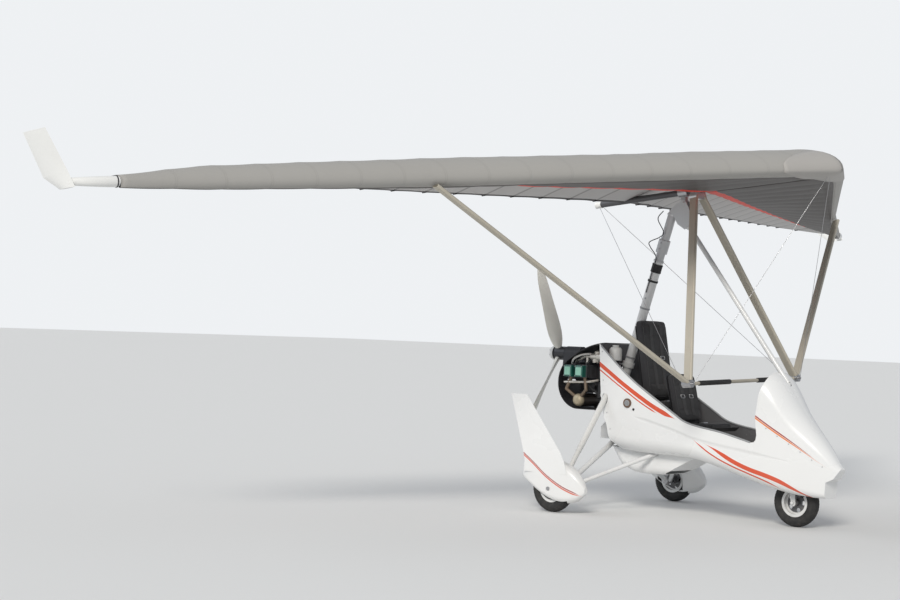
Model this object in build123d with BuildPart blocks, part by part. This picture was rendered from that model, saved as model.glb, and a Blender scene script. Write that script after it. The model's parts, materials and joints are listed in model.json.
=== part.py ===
from build123d import *
import os
from math import atan2, cos, degrees, hypot, radians, sin, sqrt, tan

os.makedirs("parts", exist_ok=True)

# Two-seat weight-shift ultralight: a three-wheeled trike hung under a strut-braced flex wing.
# Millimetres, +X forward, +Y to port, +Z up, origin on the ground under the middle of the whole.
# Trike places are given by station, the distance ahead of the main axle.

# Stance
axle_x = -485.0  # main axle, from the origin
wheelbase = 1803.0
track = 1844.0
seat_gap = 0.3  # gap left where one piece seats on another
spin_gap = 0.05  # radial clearance of an axle in its hub

# Wheels
wheel_r = 200.0
tyre_width = 98.0
rim_r = 118.0
rim_width = 78.0
well_r = 96.0  # inside of the rim's barrel
tyre_seat_r = 108.0
axle_r = 12.5
hub_r = 30.0
hub_half = 46.0
web_holes = 5
web_hole_r = 18.0

# Pod
wall = 5.0
split_rear = (1540.0, 872.0)  # line where nose cowl and tub meet: station, height
split_front = (2240.0, 466.0)
opening_top = (1606.0, 1300.0)  # where the cowl's rear edge passes over the cockpit

# Keel beam of the trike
beam_size = 60.0
beam_wall = 3.0
beam_rear = (-165.0, 636.0)
beam_front_z = 527.0

# Mast and front strut
mast_foot_station = -112.5
mast_foot_z = 645.0
mast_lean = 17.19  # forward, degrees
mast_r = 41.0
mast_upper_r = 38.0
mast_wall = 3.0
mast_joint_z = 2171.0
mast_top_z = 2575.0
sleeve_r = 51.0
sleeve_z = (2250.0, 2362.0)
cheek_half_gap = 21.3
cheek_thickness = 8.0
front_strut_r = 21.0
front_strut_top = (640.0, 2507.0)
front_strut_foot = (1655.0, 1211.0)  # where it meets the cowl's skin
front_strut_bury = 50.0  # from there down to the dash post

# Wing hang
keel_pitch = 5.93  # nose-up angle of the wing keel at rest, degrees
wing_bank = 1.74  # starboard wing down at rest, degrees
hang_station = 600.0
hang_z = 2776.0  # keel axis above the hang bolt
hang_drop = 90.0  # bolt below the keel axis
hang_bolt_r = 6.0

# Nose gear
rake = 10.0
steer_station = 1740.0  # steering axis at steer_z
steer_z = 620.0
stem_r = 17.5
head_tube_r = 28.0

# Engine and propeller
prop_z = 1334.0
prop_r = 840.0
prop_station = -684.0
prop_phase = 25.0
shaft_r = 15.0
crank_z = 1185.0
cylinder_stations = (-370.0, -248.0)
bank_half = 95.0  # crankcase half width


def at(station, y, z):
    """Point of the trike from its station, side and height."""
    return Vector(axle_x + station, y, z)


def side_plane(y=0.0):
    """Lengthwise upright plane: local x is the station, local y the height."""
    return Plane(origin=(axle_x, y, 0), x_dir=(1, 0, 0), z_dir=(0, -1, 0))


def cross_plane(station):
    """Upright plane across the trike: local x is to port, local y the height."""
    return Plane(origin=(axle_x + station, 0, 0), x_dir=(0, 1, 0), z_dir=(1, 0, 0))


def rod(start, end, radius, bore=0.0):
    """Round bar or tube between two points, in the open part."""
    run = end - start
    with BuildSketch(Plane(origin=start, z_dir=run)) as section:
        Circle(radius)
        if bore:
            Circle(bore, mode=Mode.SUBTRACT)
    extrude(section.sketch, amount=run.length)


def cut_rod(start, end, radius):
    """Round hole between two points, in the open part."""
    run = end - start
    with BuildSketch(Plane(origin=start, z_dir=run)) as section:
        Circle(radius)
    extrude(section.sketch, amount=run.length, mode=Mode.SUBTRACT)


def fair_tube(start, end, chord, thickness, bore_wall=2.0):
    """Streamlined tube between two points, its chord lying fore and aft."""
    run = end - start
    across = run.cross(Vector(1, 0, 0))
    lead_r, trail_r = thickness / 2, thickness / 6
    section_plane = Plane(origin=start, x_dir=across.cross(run), z_dir=run)
    for inset, mode in ((0, Mode.ADD), (bore_wall, Mode.SUBTRACT)):
        with BuildSketch(section_plane) as section:
            with Locations((chord / 2 - lead_r, 0)):
                Circle(lead_r - inset)
            with Locations((trail_r - chord / 2, 0)):
                Circle(trail_r - inset)
            make_hull()
        extrude(section.sketch, amount=run.length, mode=mode)


def side_prism(points, half_width, y=0.0, mode=Mode.ADD):
    """Prism across the trike on an outline of (station, height) points."""
    with BuildSketch(side_plane(y)) as outline:
        with BuildLine():
            Polyline(*points, close=True)
        make_face()
    extrude(outline.sketch, amount=half_width, both=True, mode=mode)


# Wing frame: x along the keel, y to port, z square to the keel, origin above the hang bolt
keel_dir = Vector(cos(radians(keel_pitch)), 0, sin(radians(keel_pitch)))
keel_up = Vector(-sin(radians(keel_pitch)), 0, cos(radians(keel_pitch)))
wing_up = keel_up * cos(radians(wing_bank)) - Vector(0, 1, 0) * sin(radians(wing_bank))
wing = Plane(origin=at(hang_station, 0, hang_z), x_dir=keel_dir, z_dir=wing_up)
hang_bolt = at(hang_station, 0, hang_z) - keel_up * hang_drop


def wing_at(x, y, z):
    """Point of the wing in the wing frame."""
    return wing.from_local_coords(Vector(x, y, z))


def wing_side(y):
    """Plane across the wing's span: local x is along the keel, local y is up."""
    return wing.moved(Plane(origin=(0, y, 0), x_dir=(1, 0, 0), z_dir=(0, -1, 0)))


# Pod: rounded cross-sections from the open rear to the nose
# columns: station, half width, bottom, top, bottom corner radius, top corner radius
pod_sections = (
    (-90, 300, 552, 1500, 110, 60),
    (230, 328, 528, 1500, 120, 60),
    (480, 335, 512, 1490, 120, 70),
    (950, 335, 496, 1400, 120, 110),
    (1430, 300, 378, 1290, 115, 190),
    (1620, 268, 324, 1250, 110, 215),
    (1800, 212, 284, 1014, 90, 190),
    (1990, 146, 262, 782, 60, 130),
    (2130, 92, 262, 612, 40, 80),
    (2211, 50, 262, 512, 24, 40),
)
chin = ((2104, 200), (2112, 392), (2168, 424), (2216, 505), (2300, 505), (2300, 200))


def pod_volume(inset):
    """Closed volume of the pod, drawn in by a wall."""
    with BuildPart() as volume:
        for station, half, bottom, top, low_r, high_r in pod_sections:
            place = station - inset if station > 2200 else station
            w, b, t = half - inset, bottom + inset, top - inset
            lr, hr = low_r - inset, high_r - inset
            with BuildSketch(cross_plane(place)):
                with BuildLine():
                    Line((-w + lr, b), (w - lr, b))
                    RadiusArc((w - lr, b), (w, b + lr), -lr)
                    Line((w, b + lr), (w, t - hr))
                    RadiusArc((w, t - hr), (w - hr, t), -hr)
                    Line((w - hr, t), (-w + hr, t))
                    RadiusArc((-w + hr, t), (-w, t - hr), -hr)
                    Line((-w, t - hr), (-w, b + lr))
                    RadiusArc((-w, b + lr), (-w + lr, b), -lr)
                make_face()
        loft()
        side_prism([(x - inset, z + inset) for x, z in chin], 400, mode=Mode.SUBTRACT)
    return volume.part


pod_outer = pod_volume(0)
pod_inner = pod_volume(wall)

coaming = (
    (-300, 1440), (-26, 1440), (108, 1328), (319, 1165), (455, 1075), (700, 930), (804, 868),
    (898, 815), (1028, 781), (1247, 747), (1440, 700), (1515, 678), (1545, 682),
)
opening_front = (
    (1560, 700), (1567, 740), (1550, 886), (1568, 1040), (1582, 1112), (1596, 1159),
    (opening_top[0], 1219), opening_top,
)
pod_rear = (  # rear edge, seen from the side
    (240, 500), (204, 545), (119, 614), (90, 731), (50, 816), (20, 945), (0, 1119), (-26, 1500),
)
split_drop = (split_front[1] - split_rear[1]) / (split_front[0] - split_rear[0])


def cut_cockpit():
    """Cockpit opening above the coaming, in the open part."""
    above = ((opening_top[0], 1800), (-300, 1800))
    side_prism(coaming + opening_front + above, 500, mode=Mode.SUBTRACT)


def cut_rear():
    """Open rear of the pod, behind its slanted edge."""
    side_prism(pod_rear + ((-400, 1500), (-400, 400), (240, 400)), 500, mode=Mode.SUBTRACT)


def above_split(mode):
    """Region above the line where the cowl meets the tub."""
    top = ((split_front[0], 1800), (split_rear[0], 1800))
    side_prism((split_rear, split_front) + top, 500, mode=mode)


beam_end_station = steer_station - (beam_front_z - steer_z) * tan(radians(rake))
beam_slope = (beam_front_z - beam_rear[1]) / (beam_end_station - beam_rear[0])
beam_half = beam_size / 2


def beam_z(station):
    """Height of the keel beam's axis."""
    return beam_rear[1] + (station - beam_rear[0]) * beam_slope


def mast_at(z):
    """Point of the mast's axis at a height."""
    return at(mast_foot_station + (z - mast_foot_z) * tan(radians(mast_lean)), 0, z)


def steer_at(z):
    """Point of the steering axis at a height."""
    return at(steer_station + (steer_z - z) * tan(radians(rake)), 0, z)


strut_top = at(front_strut_top[0], 0, front_strut_top[1])
strut_skin = at(front_strut_foot[0], 0, front_strut_foot[1])
strut_foot = strut_skin + (strut_skin - strut_top).normalized() * front_strut_bury

# Pod tub: hollow lower shell with the cockpit opening, the wheel well and the struts' holes
well = (1592.0, 2012.0)
well_half = 120.0
notch_half = beam_half + 6
shock_r = 26.0
drag_r = 18.0
hub_y = 790.0
shock_upper = {side: (64.0, side * 292.0, 990.0) for side in (1, -1)}
shock_lower = {side: (6.0, side * 792.0, 262.0) for side in (1, -1)}
drag_inner = {side: (678.0, side * 20.0, 600.0) for side in (1, -1)}
drag_outer = {side: (42.0, side * 784.0, 205.0) for side in (1, -1)}
with BuildPart() as pod_tub:
    add(pod_outer)
    add(pod_inner, mode=Mode.SUBTRACT)
    cut_cockpit()
    cut_rear()
    above_split(Mode.SUBTRACT)
    well_length = well[1] - well[0]
    with BuildSketch(Plane(origin=at((well[0] + well[1]) / 2, 0, 200))):
        RectangleRounded(well_length, 2 * well_half, 60)
    extrude(amount=150, mode=Mode.SUBTRACT)
    for side in (1, -1):
        cut_rod(at(*shock_upper[side]), at(*shock_lower[side]), shock_r + 5)
        cut_rod(at(*drag_inner[side]), at(*drag_outer[side]), drag_r + 5)
pod_tub.part.label = "pod_tub"
export_step(pod_tub.part, "parts/pod_tub.step")

post_station = 1684.0
post_r = 25.0

# Nose cowl: upper front shell, holed for the front strut
with BuildPart() as nose_cowl:
    add(pod_outer)
    add(pod_inner, mode=Mode.SUBTRACT)
    cut_cockpit()
    above_split(Mode.INTERSECT)
    cut_rod(strut_foot, strut_top, front_strut_r + 4)
    cut_rod(at(post_station, 0, 900), at(post_station, 0, 1400), post_r + 4)
nose_cowl.part.label = "nose_cowl"
export_step(nose_cowl.part, "parts/nose_cowl.step")

# Rear bulkhead: closes the pod behind the seats, slotted for the mast and the engine mount
panel = 6.0
mount_arms = (  # clamp height on the mast, engine end height, half spread at the mast
    (1262.0, 1262.0, 36.0),
    (1050.0, 1112.0, 36.0),
)
arm_r = 11.0
arm_spread = 80.0
clamp_r = 54.0
clamp_length = 40.0
case_front = -150.0
rear_line = ((270, 530), (180, 640), (92, 780), (-6, 1436))  # its rear face, seen from the side
with BuildPart() as rear_bulkhead:
    side_prism(rear_line + tuple((x + panel, z + 2) for x, z in reversed(rear_line)), 400)
    add(pod_inner, mode=Mode.INTERSECT)
    cut_rod(mast_at(900), mast_at(1400), mast_r + 6)
    for clamp_z, case_z, half in mount_arms:
        cut_rod(mast_at(clamp_z - 26), mast_at(clamp_z + 26), clamp_r + 5)
        for side in (1, -1):
            near = mast_at(clamp_z) + Vector(0, side * half, 0)
            cut_rod(near, at(case_front, side * arm_spread, case_z), arm_r + 4)
    with BuildSketch(Plane(origin=at(100, 0, 560))):
        Rectangle(700, 2 * notch_half)
    extrude(amount=beam_z(150) + beam_half - 550, mode=Mode.SUBTRACT)
    for side in (1, -1):
        cut_rod(at(*shock_upper[side]), at(*shock_lower[side]), shock_r + 6)
rear_bulkhead.part.label = "rear_bulkhead"
export_step(rear_bulkhead.part, "parts/rear_bulkhead.step")

# Instrument panel: fills the cowl's rear opening, with round dial housings
panel_station = 1622.0
panel_low = 900.0
dials = ((-100, 1080, 40), (0, 1085, 40), (100, 1080, 40), (-55, 990, 28), (55, 990, 28))  # y, z, r
with BuildPart() as instrument_panel:
    with BuildSketch(cross_plane(panel_station)):
        with Locations((0, (panel_low + 1300) / 2)):
            Rectangle(700, 1300 - panel_low)
    extrude(amount=4)
    add(pod_inner, mode=Mode.INTERSECT)
    with BuildSketch(cross_plane(panel_station)):
        for y, z, r in dials:
            with Locations((y, z)):
                Circle(r)
    extrude(amount=-12)
    cut_rod(strut_foot, strut_top, front_strut_r + 4)
instrument_panel.part.label = "instrument_panel"
export_step(instrument_panel.part, "parts/instrument_panel.step")

# Dash post: stands on the beam and takes the front strut's foot
with BuildPart() as dash_post:
    rod(at(post_station, 0, 500), at(post_station, 0, strut_foot.Z + 8), post_r, post_r - 3)
    low = ((1500, beam_z(1500) + beam_half + seat_gap), (1900, beam_z(1900) + beam_half + seat_gap))
    side_prism(low + ((1900, 300), (1500, 300)), 100, mode=Mode.SUBTRACT)
    cut_rod(strut_foot, strut_top, front_strut_r + seat_gap)
dash_post.part.label = "dash_post"
export_step(dash_post.part, "parts/dash_post.step")

# Keel beam: square tube with the mast's foot cheeks, axle lugs and the steering head
foot_cheek = 6.0
lug_station = 0.0
head_tube_z = (478.0, 600.0)
stem_gap = 0.3
with BuildPart() as keel_beam:
    beam_start = at(beam_rear[0], 0, beam_rear[1])
    beam_run = at(beam_end_station, 0, beam_front_z) - beam_start
    with BuildSketch(Plane(origin=beam_start, x_dir=(0, 1, 0), z_dir=beam_run)):
        Rectangle(beam_size, beam_size)
        Rectangle(beam_size - 2 * beam_wall, beam_size - 2 * beam_wall, mode=Mode.SUBTRACT)
    extrude(amount=beam_run.length)
    rod(steer_at(head_tube_z[0]), steer_at(head_tube_z[1]), head_tube_r)
    for side in (1, -1):
        cheek_y = side * (mast_r + seat_gap + foot_cheek / 2)
        cheek = ((-160, 600), (-60, 600), (-46, 720), (-100, 760), (-160, 700))
        side_prism(cheek, foot_cheek / 2, cheek_y)
        lug_y = side * (beam_half + 8)
        with Locations(at(lug_station, lug_y, beam_z(0) - 24)):
            Box(60, 16, 46)
    with Locations(at(-105, 0, beam_z(-105) - beam_half - 3)):
        Box(110, 2 * (mast_r + seat_gap + foot_cheek), 6)
    cut_rod(steer_at(head_tube_z[0] - 50), steer_at(head_tube_z[1] + 50), stem_r + stem_gap)
keel_beam.part.label = "keel_beam"
export_step(keel_beam.part, "parts/keel_beam.step")

# Mast: lower tube on the beam, upper tube with its joint ring and locking sleeve
with BuildPart() as mast_lower:
    rod(mast_at(560), mast_at(mast_joint_z), mast_r, mast_r - mast_wall)
    rest = [(x, beam_z(x) + beam_half + seat_gap) for x in (-400, 200)]
    side_prism(rest + [(200, 300), (-400, 300)], 200, mode=Mode.SUBTRACT)
mast_lower.part.label = "mast_lower"
export_step(mast_lower.part, "parts/mast_lower.step")

with BuildPart() as mast_upper:
    rod(mast_at(mast_joint_z), mast_at(mast_top_z), mast_upper_r, mast_upper_r - mast_wall)
    rod(mast_at(mast_joint_z), mast_at(mast_joint_z + 14), mast_r + 5, mast_upper_r - mast_wall)
    rod(mast_at(sleeve_z[0]), mast_at(sleeve_z[1]), sleeve_r, mast_upper_r - mast_wall)
mast_upper.part.label = "mast_upper"
export_step(mast_upper.part, "parts/mast_upper.step")

# Mast head: cap on the mast, two cheeks and the hang bolt between them
bolt_station = hang_bolt.X - axle_x
bolt_z = hang_bolt.Z
cheek_outline = (
    (449, 2587), (484, 2576), (522, 2565), (560, 2500), (636, 2452), (700, 2500),
    (672, 2640), (bolt_station + 22, bolt_z + 18), (bolt_station, bolt_z + 24),
    (bolt_station - 24, bolt_z + 14), (512, 2650),
)
with BuildPart() as mast_head:
    rod(mast_at(mast_top_z), mast_at(mast_top_z + 14), mast_upper_r)
    for side in (1, -1):
        cheek_y = side * (cheek_half_gap + cheek_thickness / 2)
        side_prism(cheek_outline, cheek_thickness / 2, cheek_y)
    side_prism(((458, 2598), (484, 2586), (530, 2573), (545, 2600), (500, 2628)), cheek_half_gap)
    below = [mast_at(mast_top_z) + Vector(dx, 0, -dx * tan(radians(mast_lean))) for dx in (-80, 41)]
    trim = [(p.X - axle_x, p.Z) for p in below]
    side_prism(trim + [(trim[1][0] - 60, 2400), (trim[0][0] - 60, 2400)], 100, mode=Mode.SUBTRACT)
    across = Vector(0, cheek_half_gap + cheek_thickness, 0)
    rod(hang_bolt - across * 1.4, hang_bolt + across * 1.4, hang_bolt_r)
    for side in (1, -1):
        rod(hang_bolt + across * side, hang_bolt + across * side * 1.25, 2 * hang_bolt_r)
mast_head.part.label = "mast_head"
export_step(mast_head.part, "parts/mast_head.step")

# Front strut: from the mast head to the cowl top
with BuildPart() as front_strut:
    rod(strut_top, strut_foot, front_strut_r, front_strut_r - 2)
front_strut.part.label = "front_strut"
export_step(front_strut.part, "parts/front_strut.step")

# Hang block: tongue on the hang bolt under a collar that turns on the wing keel
keel_r = 27.0
collar_r = 42.0
collar_half = 45.0
tongue_half = 19.0
keel_gap = 0.3
with BuildPart() as hang_block:
    rod(wing_at(-collar_half, 0, 0), wing_at(collar_half, 0, 0), collar_r)
    with BuildSketch(Plane(origin=hang_bolt, x_dir=keel_dir, z_dir=(0, -1, 0))):
        Circle(22)
        with Locations((0, hang_drop / 2)):
            Rectangle(44, hang_drop)
    extrude(amount=tongue_half, both=True)
    cut_rod(hang_bolt - Vector(0, 40, 0), hang_bolt + Vector(0, 40, 0), hang_bolt_r + spin_gap)
    cut_rod(wing_at(-60, 0, 0), wing_at(60, 0, 0), keel_r + keel_gap)
hang_block.part.label = "hang_block"
export_step(hang_block.part, "parts/hang_block.step")

# Seat frame: bent sheet pans for two seats in tandem, on legs over the keel beam
pan = 4.0
front_pan = ((1120, 770), (1080, 735), (720, 700), (598, 1200))
rear_pan = ((592, 905), (400, 880), (268, 1600))
with BuildPart() as seat_frame:
    for line, half in ((front_pan, 190), (rear_pan, 190)):
        with BuildSketch(side_plane()):
            with BuildLine() as bend:
                Polyline(*line)
            trace(line_width=pan)
        extrude(amount=half, both=True)
    for station, top, length in ((1000, 726, 40), (745, 701, 40), (430, 880.5, 60)):
        foot_z = beam_z(station) + beam_half + 2
        with BuildSketch(Plane(origin=at(station, 0, foot_z))):
            Rectangle(length, 120)
            Rectangle(length, 100, mode=Mode.SUBTRACT)
        extrude(amount=top - foot_z)
        with Locations(at(station, 0, foot_z)):
            Box(length, 120, 3)
    on_beam = [(x, beam_z(x) + beam_half + seat_gap) for x in (200, 1300)]
    side_prism(on_beam + [(1300, 400), (200, 400)], 300, mode=Mode.SUBTRACT)
seat_frame.part.label = "seat_frame"
export_step(seat_frame.part, "parts/seat_frame.step")

# Seat pads: soft, plain, a little clear of their pans
pads = (  # name, pan line's lower and upper end, start along it, length, thickness, width, side
    ("front_seat_cushion", front_pan[2], front_pan[1], 14, 338, 70, 370, 1),
    ("front_seat_back", front_pan[2], front_pan[3], 92, 414, 60, 370, -1),
    ("rear_seat_cushion", rear_pan[1], rear_pan[0], 12, 177, 60, 370, 1),
    ("rear_seat_back", rear_pan[1], rear_pan[2], 82, 700, 75, 390, -1),
)
for name, low, high, start, length, thickness, width, facing in pads:
    along = Vector(high[0] - low[0], 0, high[1] - low[1]).normalized()
    out = Vector(-along.Z, 0, along.X) * facing
    lift = pan / 2 + seat_gap
    middle = at(low[0], 0, low[1]) + along * (start + length / 2) + out * (lift + thickness / 2)
    with BuildPart() as pad:
        pad_plane = Plane(origin=middle, x_dir=along, z_dir=out)
        with BuildSketch(pad_plane.offset(-thickness / 2)):
            RectangleRounded(length, width, 45)
        extrude(amount=thickness)
        chamfer(pad.faces().sort_by(Axis((0, 0, 0), pad_plane.z_dir))[-1].edges(), 14)
    pad.part.label = name
    export_step(pad.part, f"parts/{name}.step")


# Belly fairing: duct under the tub, open at its slanted front, round the radiator
belly_half = 190.0
belly_wall = 4.0
belly_round = 60.0
core_half = 170.0  # half width of the radiator's core
belly = ((54, 534), (157, 388), (287, 336), (413, 327), (609, 334), (896, 488), (896, 640), (54, 700))


def belly_volume(inset):
    """Closed volume of the belly fairing, drawn in by a wall."""
    with BuildPart() as volume:
        with BuildSketch(side_plane()) as outline:
            with BuildLine():
                Polyline(*belly, close=True)
            make_face()
            if inset:
                offset(amount=-inset, mode=Mode.REPLACE)
        extrude(outline.sketch, amount=belly_half - inset, both=True)
        side_edges = volume.faces().filter_by(Axis.Y).edges()
        low_edges = side_edges.filter_by(lambda e: e.center().Z < 500 and e.center().X < at(640, 0, 0).X)
        fillet(low_edges, belly_round - inset)
    return volume.part


with BuildPart() as belly_fairing:
    add(belly_volume(0))
    add(belly_volume(belly_wall), mode=Mode.SUBTRACT)
    side_prism(((612, 322), (912, 484), (912, 500), (600, 334)), belly_half - 12, mode=Mode.SUBTRACT)
    add(pod_outer, mode=Mode.SUBTRACT)
    for side in (1, -1):
        cut_rod(at(*drag_inner[side]), at(*drag_outer[side]), drag_r + 5)
belly_fairing.part.label = "belly_fairing"
export_step(belly_fairing.part, "parts/belly_fairing.step")

with BuildPart() as radiator:
    side_prism(((664, 378), (880, 490), (862, 520), (646, 408)), core_half)
    add(pod_outer, mode=Mode.SUBTRACT)
radiator.part.label = "radiator"
export_step(radiator.part, "parts/radiator.step")

# Main gear: hub carriers with their axles, legs and drag struts, shock struts and their cross beam
carrier_r = 34.0
spacer_r = 18.0  # collars that hold a wheel in its place along the axle
wheel_y = track / 2
spat_outer = 1000.0
spat_inner = 845.0
spat_wall = 4.0
leg_r = 24.0
with BuildPart() as hub_carriers:
    for side in (1, -1):
        for start, end, radius in (  # places out along the axle's line
            (hub_y - 30, spat_inner - 6, carrier_r),
            (hub_y, wheel_y - hub_half - seat_gap, spacer_r),
            (hub_y, spat_outer + 6, axle_r),
            (wheel_y + hub_half + seat_gap, spat_outer - spat_wall - 1, spacer_r),
            (spat_outer + seat_gap, spat_outer + 7, spacer_r - 1),
        ):
            rod(at(0, side * start, wheel_r), at(0, side * end, wheel_r), radius)
        with Locations(at(6, side * 792, wheel_r + 50)):
            Box(24, 24, 50)
        with Locations(at(34, side * 784, wheel_r + 2)):
            Box(40, 26, 24)
hub_carriers.part.label = "hub_carriers"
export_step(hub_carriers.part, "parts/hub_carriers.step")

with BuildPart() as gear_legs:
    for side in (1, -1):
        rod(at(0, side * 30, beam_z(0) - 26), at(0, side * 776, 207), leg_r, leg_r - 3)
        rod(at(*drag_inner[side]), at(*drag_outer[side]), drag_r, drag_r - 2)
    with Locations(at(600, 0, beam_z(600))):
        Box(600, beam_size + 2 * seat_gap, 2 * beam_size, mode=Mode.SUBTRACT)
    with Locations(at(lug_station, 0, beam_z(0))):
        Box(200, 2 * (beam_half + 16 + seat_gap), 3 * beam_size, mode=Mode.SUBTRACT)
    add(hub_carriers.part, mode=Mode.SUBTRACT)
gear_legs.part.label = "gear_legs"
export_step(gear_legs.part, "parts/gear_legs.step")

with BuildPart() as shock_beam:
    rod(at(10, -292, 990), at(10, 292, 990), 16, 13)
    for side in (1, -1):
        with Locations(at(26, side * 282, 992)):
            Box(60, 12, 40)
    cut_rod(mast_at(900), mast_at(1100), mast_r + seat_gap)
shock_beam.part.label = "shock_beam"
export_step(shock_beam.part, "parts/shock_beam.step")

with BuildPart() as shock_struts:
    for side in (1, -1):
        upper, lower = at(*shock_upper[side]), at(*shock_lower[side])
        middle = upper + (lower - upper) * 0.62
        rod(upper, middle, shock_r)
        rod(middle, lower, shock_r - 5)
        rod(middle, middle + (lower - middle) * 0.12, shock_r - 2)
    add(shock_beam.part, mode=Mode.SUBTRACT)
    add(hub_carriers.part, mode=Mode.SUBTRACT)
shock_struts.part.label = "shock_struts"
export_step(shock_struts.part, "parts/shock_struts.step")

# Wheel spats: hollow teardrops over the wheels, each with a swept fin flush with its outer side
spat_clear = 10.0
spat_middle = (spat_outer + spat_inner) / 2
fin_sections = (  # height, rear station, front station, thickness
    (330, -262, 190, 34),
    (430, -262, 160, 34),
    (516, -286, 112, 30),
    (984, -433, -262, 12),
)
spat_sections = (  # station, half width, bottom, top, corner radius
    (-312, 24, 280, 334, 14),
    (-268, 54, 252, 436, 30),
    (-150, 77.5, 184, 452, 44),
    (0, 77.5, 108, 448, 52),
    (100, 77.5, 86, 426, 56),
    (200, 70, 92, 380, 54),
    (285, 48, 128, 306, 40),
    (338, 20, 178, 226, 18),
)


def spat_body(side, inset):
    """Closed teardrop body of a spat, drawn in by a wall."""
    with BuildPart() as body:
        for station, half, bottom, top, corner_r in spat_sections:
            ends = {spat_sections[0][0]: inset, spat_sections[-1][0]: -inset}
            with BuildSketch(cross_plane(station + ends.get(station, 0))):
                with Locations((side * spat_middle, (bottom + top) / 2)):
                    RectangleRounded(2 * (half - inset), top - bottom - 2 * inset, corner_r - inset)
        loft()
    return body.part


for side, name in ((1, "left"), (-1, "right")):
    with BuildPart() as spat:
        for height, rear, front, thickness in fin_sections:
            with BuildSketch(Plane(origin=at(0, side * spat_outer, height))):
                with BuildLine():
                    bulge = (rear + 0.62 * (front - rear), -side * thickness)
                    ThreePointArc((rear, 0), bulge, (front, 0))
                    Line((front, 0), (rear, 0))
                make_face()
        loft(ruled=True)
        add(spat_body(side, 0))
        add(spat_body(side, spat_wall), mode=Mode.SUBTRACT)
        inner_face = at(0, side * (spat_inner + spat_wall), wheel_r)
        outer_face = at(0, side * (spat_outer - spat_wall), wheel_r)
        across = Vector(0, side * 12, 0)
        hub_middle = at(0, side * wheel_y, wheel_r)
        cut_rod(hub_middle - 5 * across, hub_middle + 5 * across, wheel_r + spat_clear)
        cut_rod(inner_face - across, inner_face + across, 140)
        with Locations(at(0, side * spat_inner, 110)):
            Box(280, 24, 180, mode=Mode.SUBTRACT)
        cut_rod(outer_face - across, outer_face + across, axle_r + seat_gap)
        cut_rod(at(0, side * spat_outer, wheel_r), outer_face + across, spacer_r)
    spat.part.label = f"wheel_spat_{name}"
    export_step(spat.part, f"parts/wheel_spat_{name}.step")

# Wheels: tyre and rim on each axle
wheels = (  # name, station, side place
    ("main_{}_left", 0.0, wheel_y),
    ("main_{}_right", 0.0, -wheel_y),
    ("nose_{}", wheelbase, 0.0),
)
bead_half = rim_width / 2 - 3 - seat_gap
bead_z = wheel_r + tyre_seat_r
lip_z = wheel_r + rim_r + 1
tread_half = 0.34 * tyre_width
tread_z = 2 * wheel_r - 10
wall_z = 2 * wheel_r - 44
for name, station, y in wheels:
    turn = Axis((axle_x + station, 0, wheel_r), (0, 1, 0))
    with BuildPart() as tyre:
        with BuildSketch(cross_plane(station)):
            with BuildLine():
                Polyline((y - bead_half, lip_z), (y - bead_half, bead_z), (y + bead_half, bead_z), (y + bead_half, lip_z))
                ThreePointArc((y + bead_half, lip_z), (y + tyre_width / 2, wall_z), (y + tread_half, tread_z))
                ThreePointArc((y + tread_half, tread_z), (y, 2 * wheel_r), (y - tread_half, tread_z))
                ThreePointArc((y - tread_half, tread_z), (y - tyre_width / 2, wall_z), (y - bead_half, lip_z))
            make_face()
        revolve(axis=turn)
    label = name.format("tyre")
    tyre.part.label = label
    export_step(tyre.part, f"parts/{label}.step")
    with BuildPart() as rim:
        with BuildSketch(cross_plane(station)):
            for low, high, half in (
                (axle_r + spin_gap, hub_r, hub_half),
                (hub_r - 1, well_r + 2, 5.0),
                (well_r, tyre_seat_r - seat_gap, rim_width / 2),
            ):
                with Locations((y, wheel_r + (low + high) / 2)):
                    Rectangle(2 * half, high - low)
            for flange in (1, -1):
                with Locations((y + flange * (rim_width / 2 - 1.5), wheel_r + (well_r + rim_r) / 2)):
                    Rectangle(3, rim_r - well_r)
        revolve(axis=turn)
        with BuildSketch(side_plane(y)):
            with Locations((station, wheel_r)):
                with PolarLocations(64, web_holes):
                    Circle(web_hole_r)
        extrude(amount=20, both=True, mode=Mode.SUBTRACT)
    label = name.format("rim")
    rim.part.label = label
    export_step(rim.part, f"parts/{label}.step")

# Nose gear: fork with its stem and axle, and the foot bar that steers it
leg_gap = tyre_width / 2 + 6
leg_plate = 8.0
tow_pin = 22.0  # axle standing out of each leg, for a tow bar
with BuildPart() as nose_fork:
    for side in (1, -1):
        leg_y = side * (leg_gap + leg_plate / 2)
        leg = ((1786, 184), (1796, 172), (1812, 172), (1824, 186), (1806, 440), (1750, 440))
        side_prism(leg, leg_plate / 2, leg_y)
        axle_end = at(wheelbase, side * (leg_gap + leg_plate + tow_pin), wheel_r)
        rod(at(wheelbase, 0, wheel_r), axle_end, axle_r)
        collar = at(wheelbase, side * (hub_half + seat_gap), wheel_r)
        rod(collar, at(wheelbase, side * leg_gap, wheel_r), spacer_r)
    with Locations(at(1778, 0, 427)):
        Box(56, 2 * (leg_gap + leg_plate), 26)
    rod(steer_at(436), steer_at(head_tube_z[1] + 14), stem_r)
    rod(steer_at(head_tube_z[1] + 4.5), steer_at(head_tube_z[1] + 14), 22)
nose_fork.part.label = "nose_fork"
export_step(nose_fork.part, "parts/nose_fork.step")

with BuildPart() as foot_bar:
    bar = at(1750 - 11 - seat_gap, 0, 427)
    rod(bar - Vector(0, 185, 0), bar + Vector(0, 185, 0), 11)
    for side in (1, -1):
        end = bar + Vector(0, side * 185, 0)
        rod(end - Vector(0, side * 95, 0), end, 16)
foot_bar.part.label = "foot_bar"
export_step(foot_bar.part, "parts/foot_bar.step")

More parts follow.
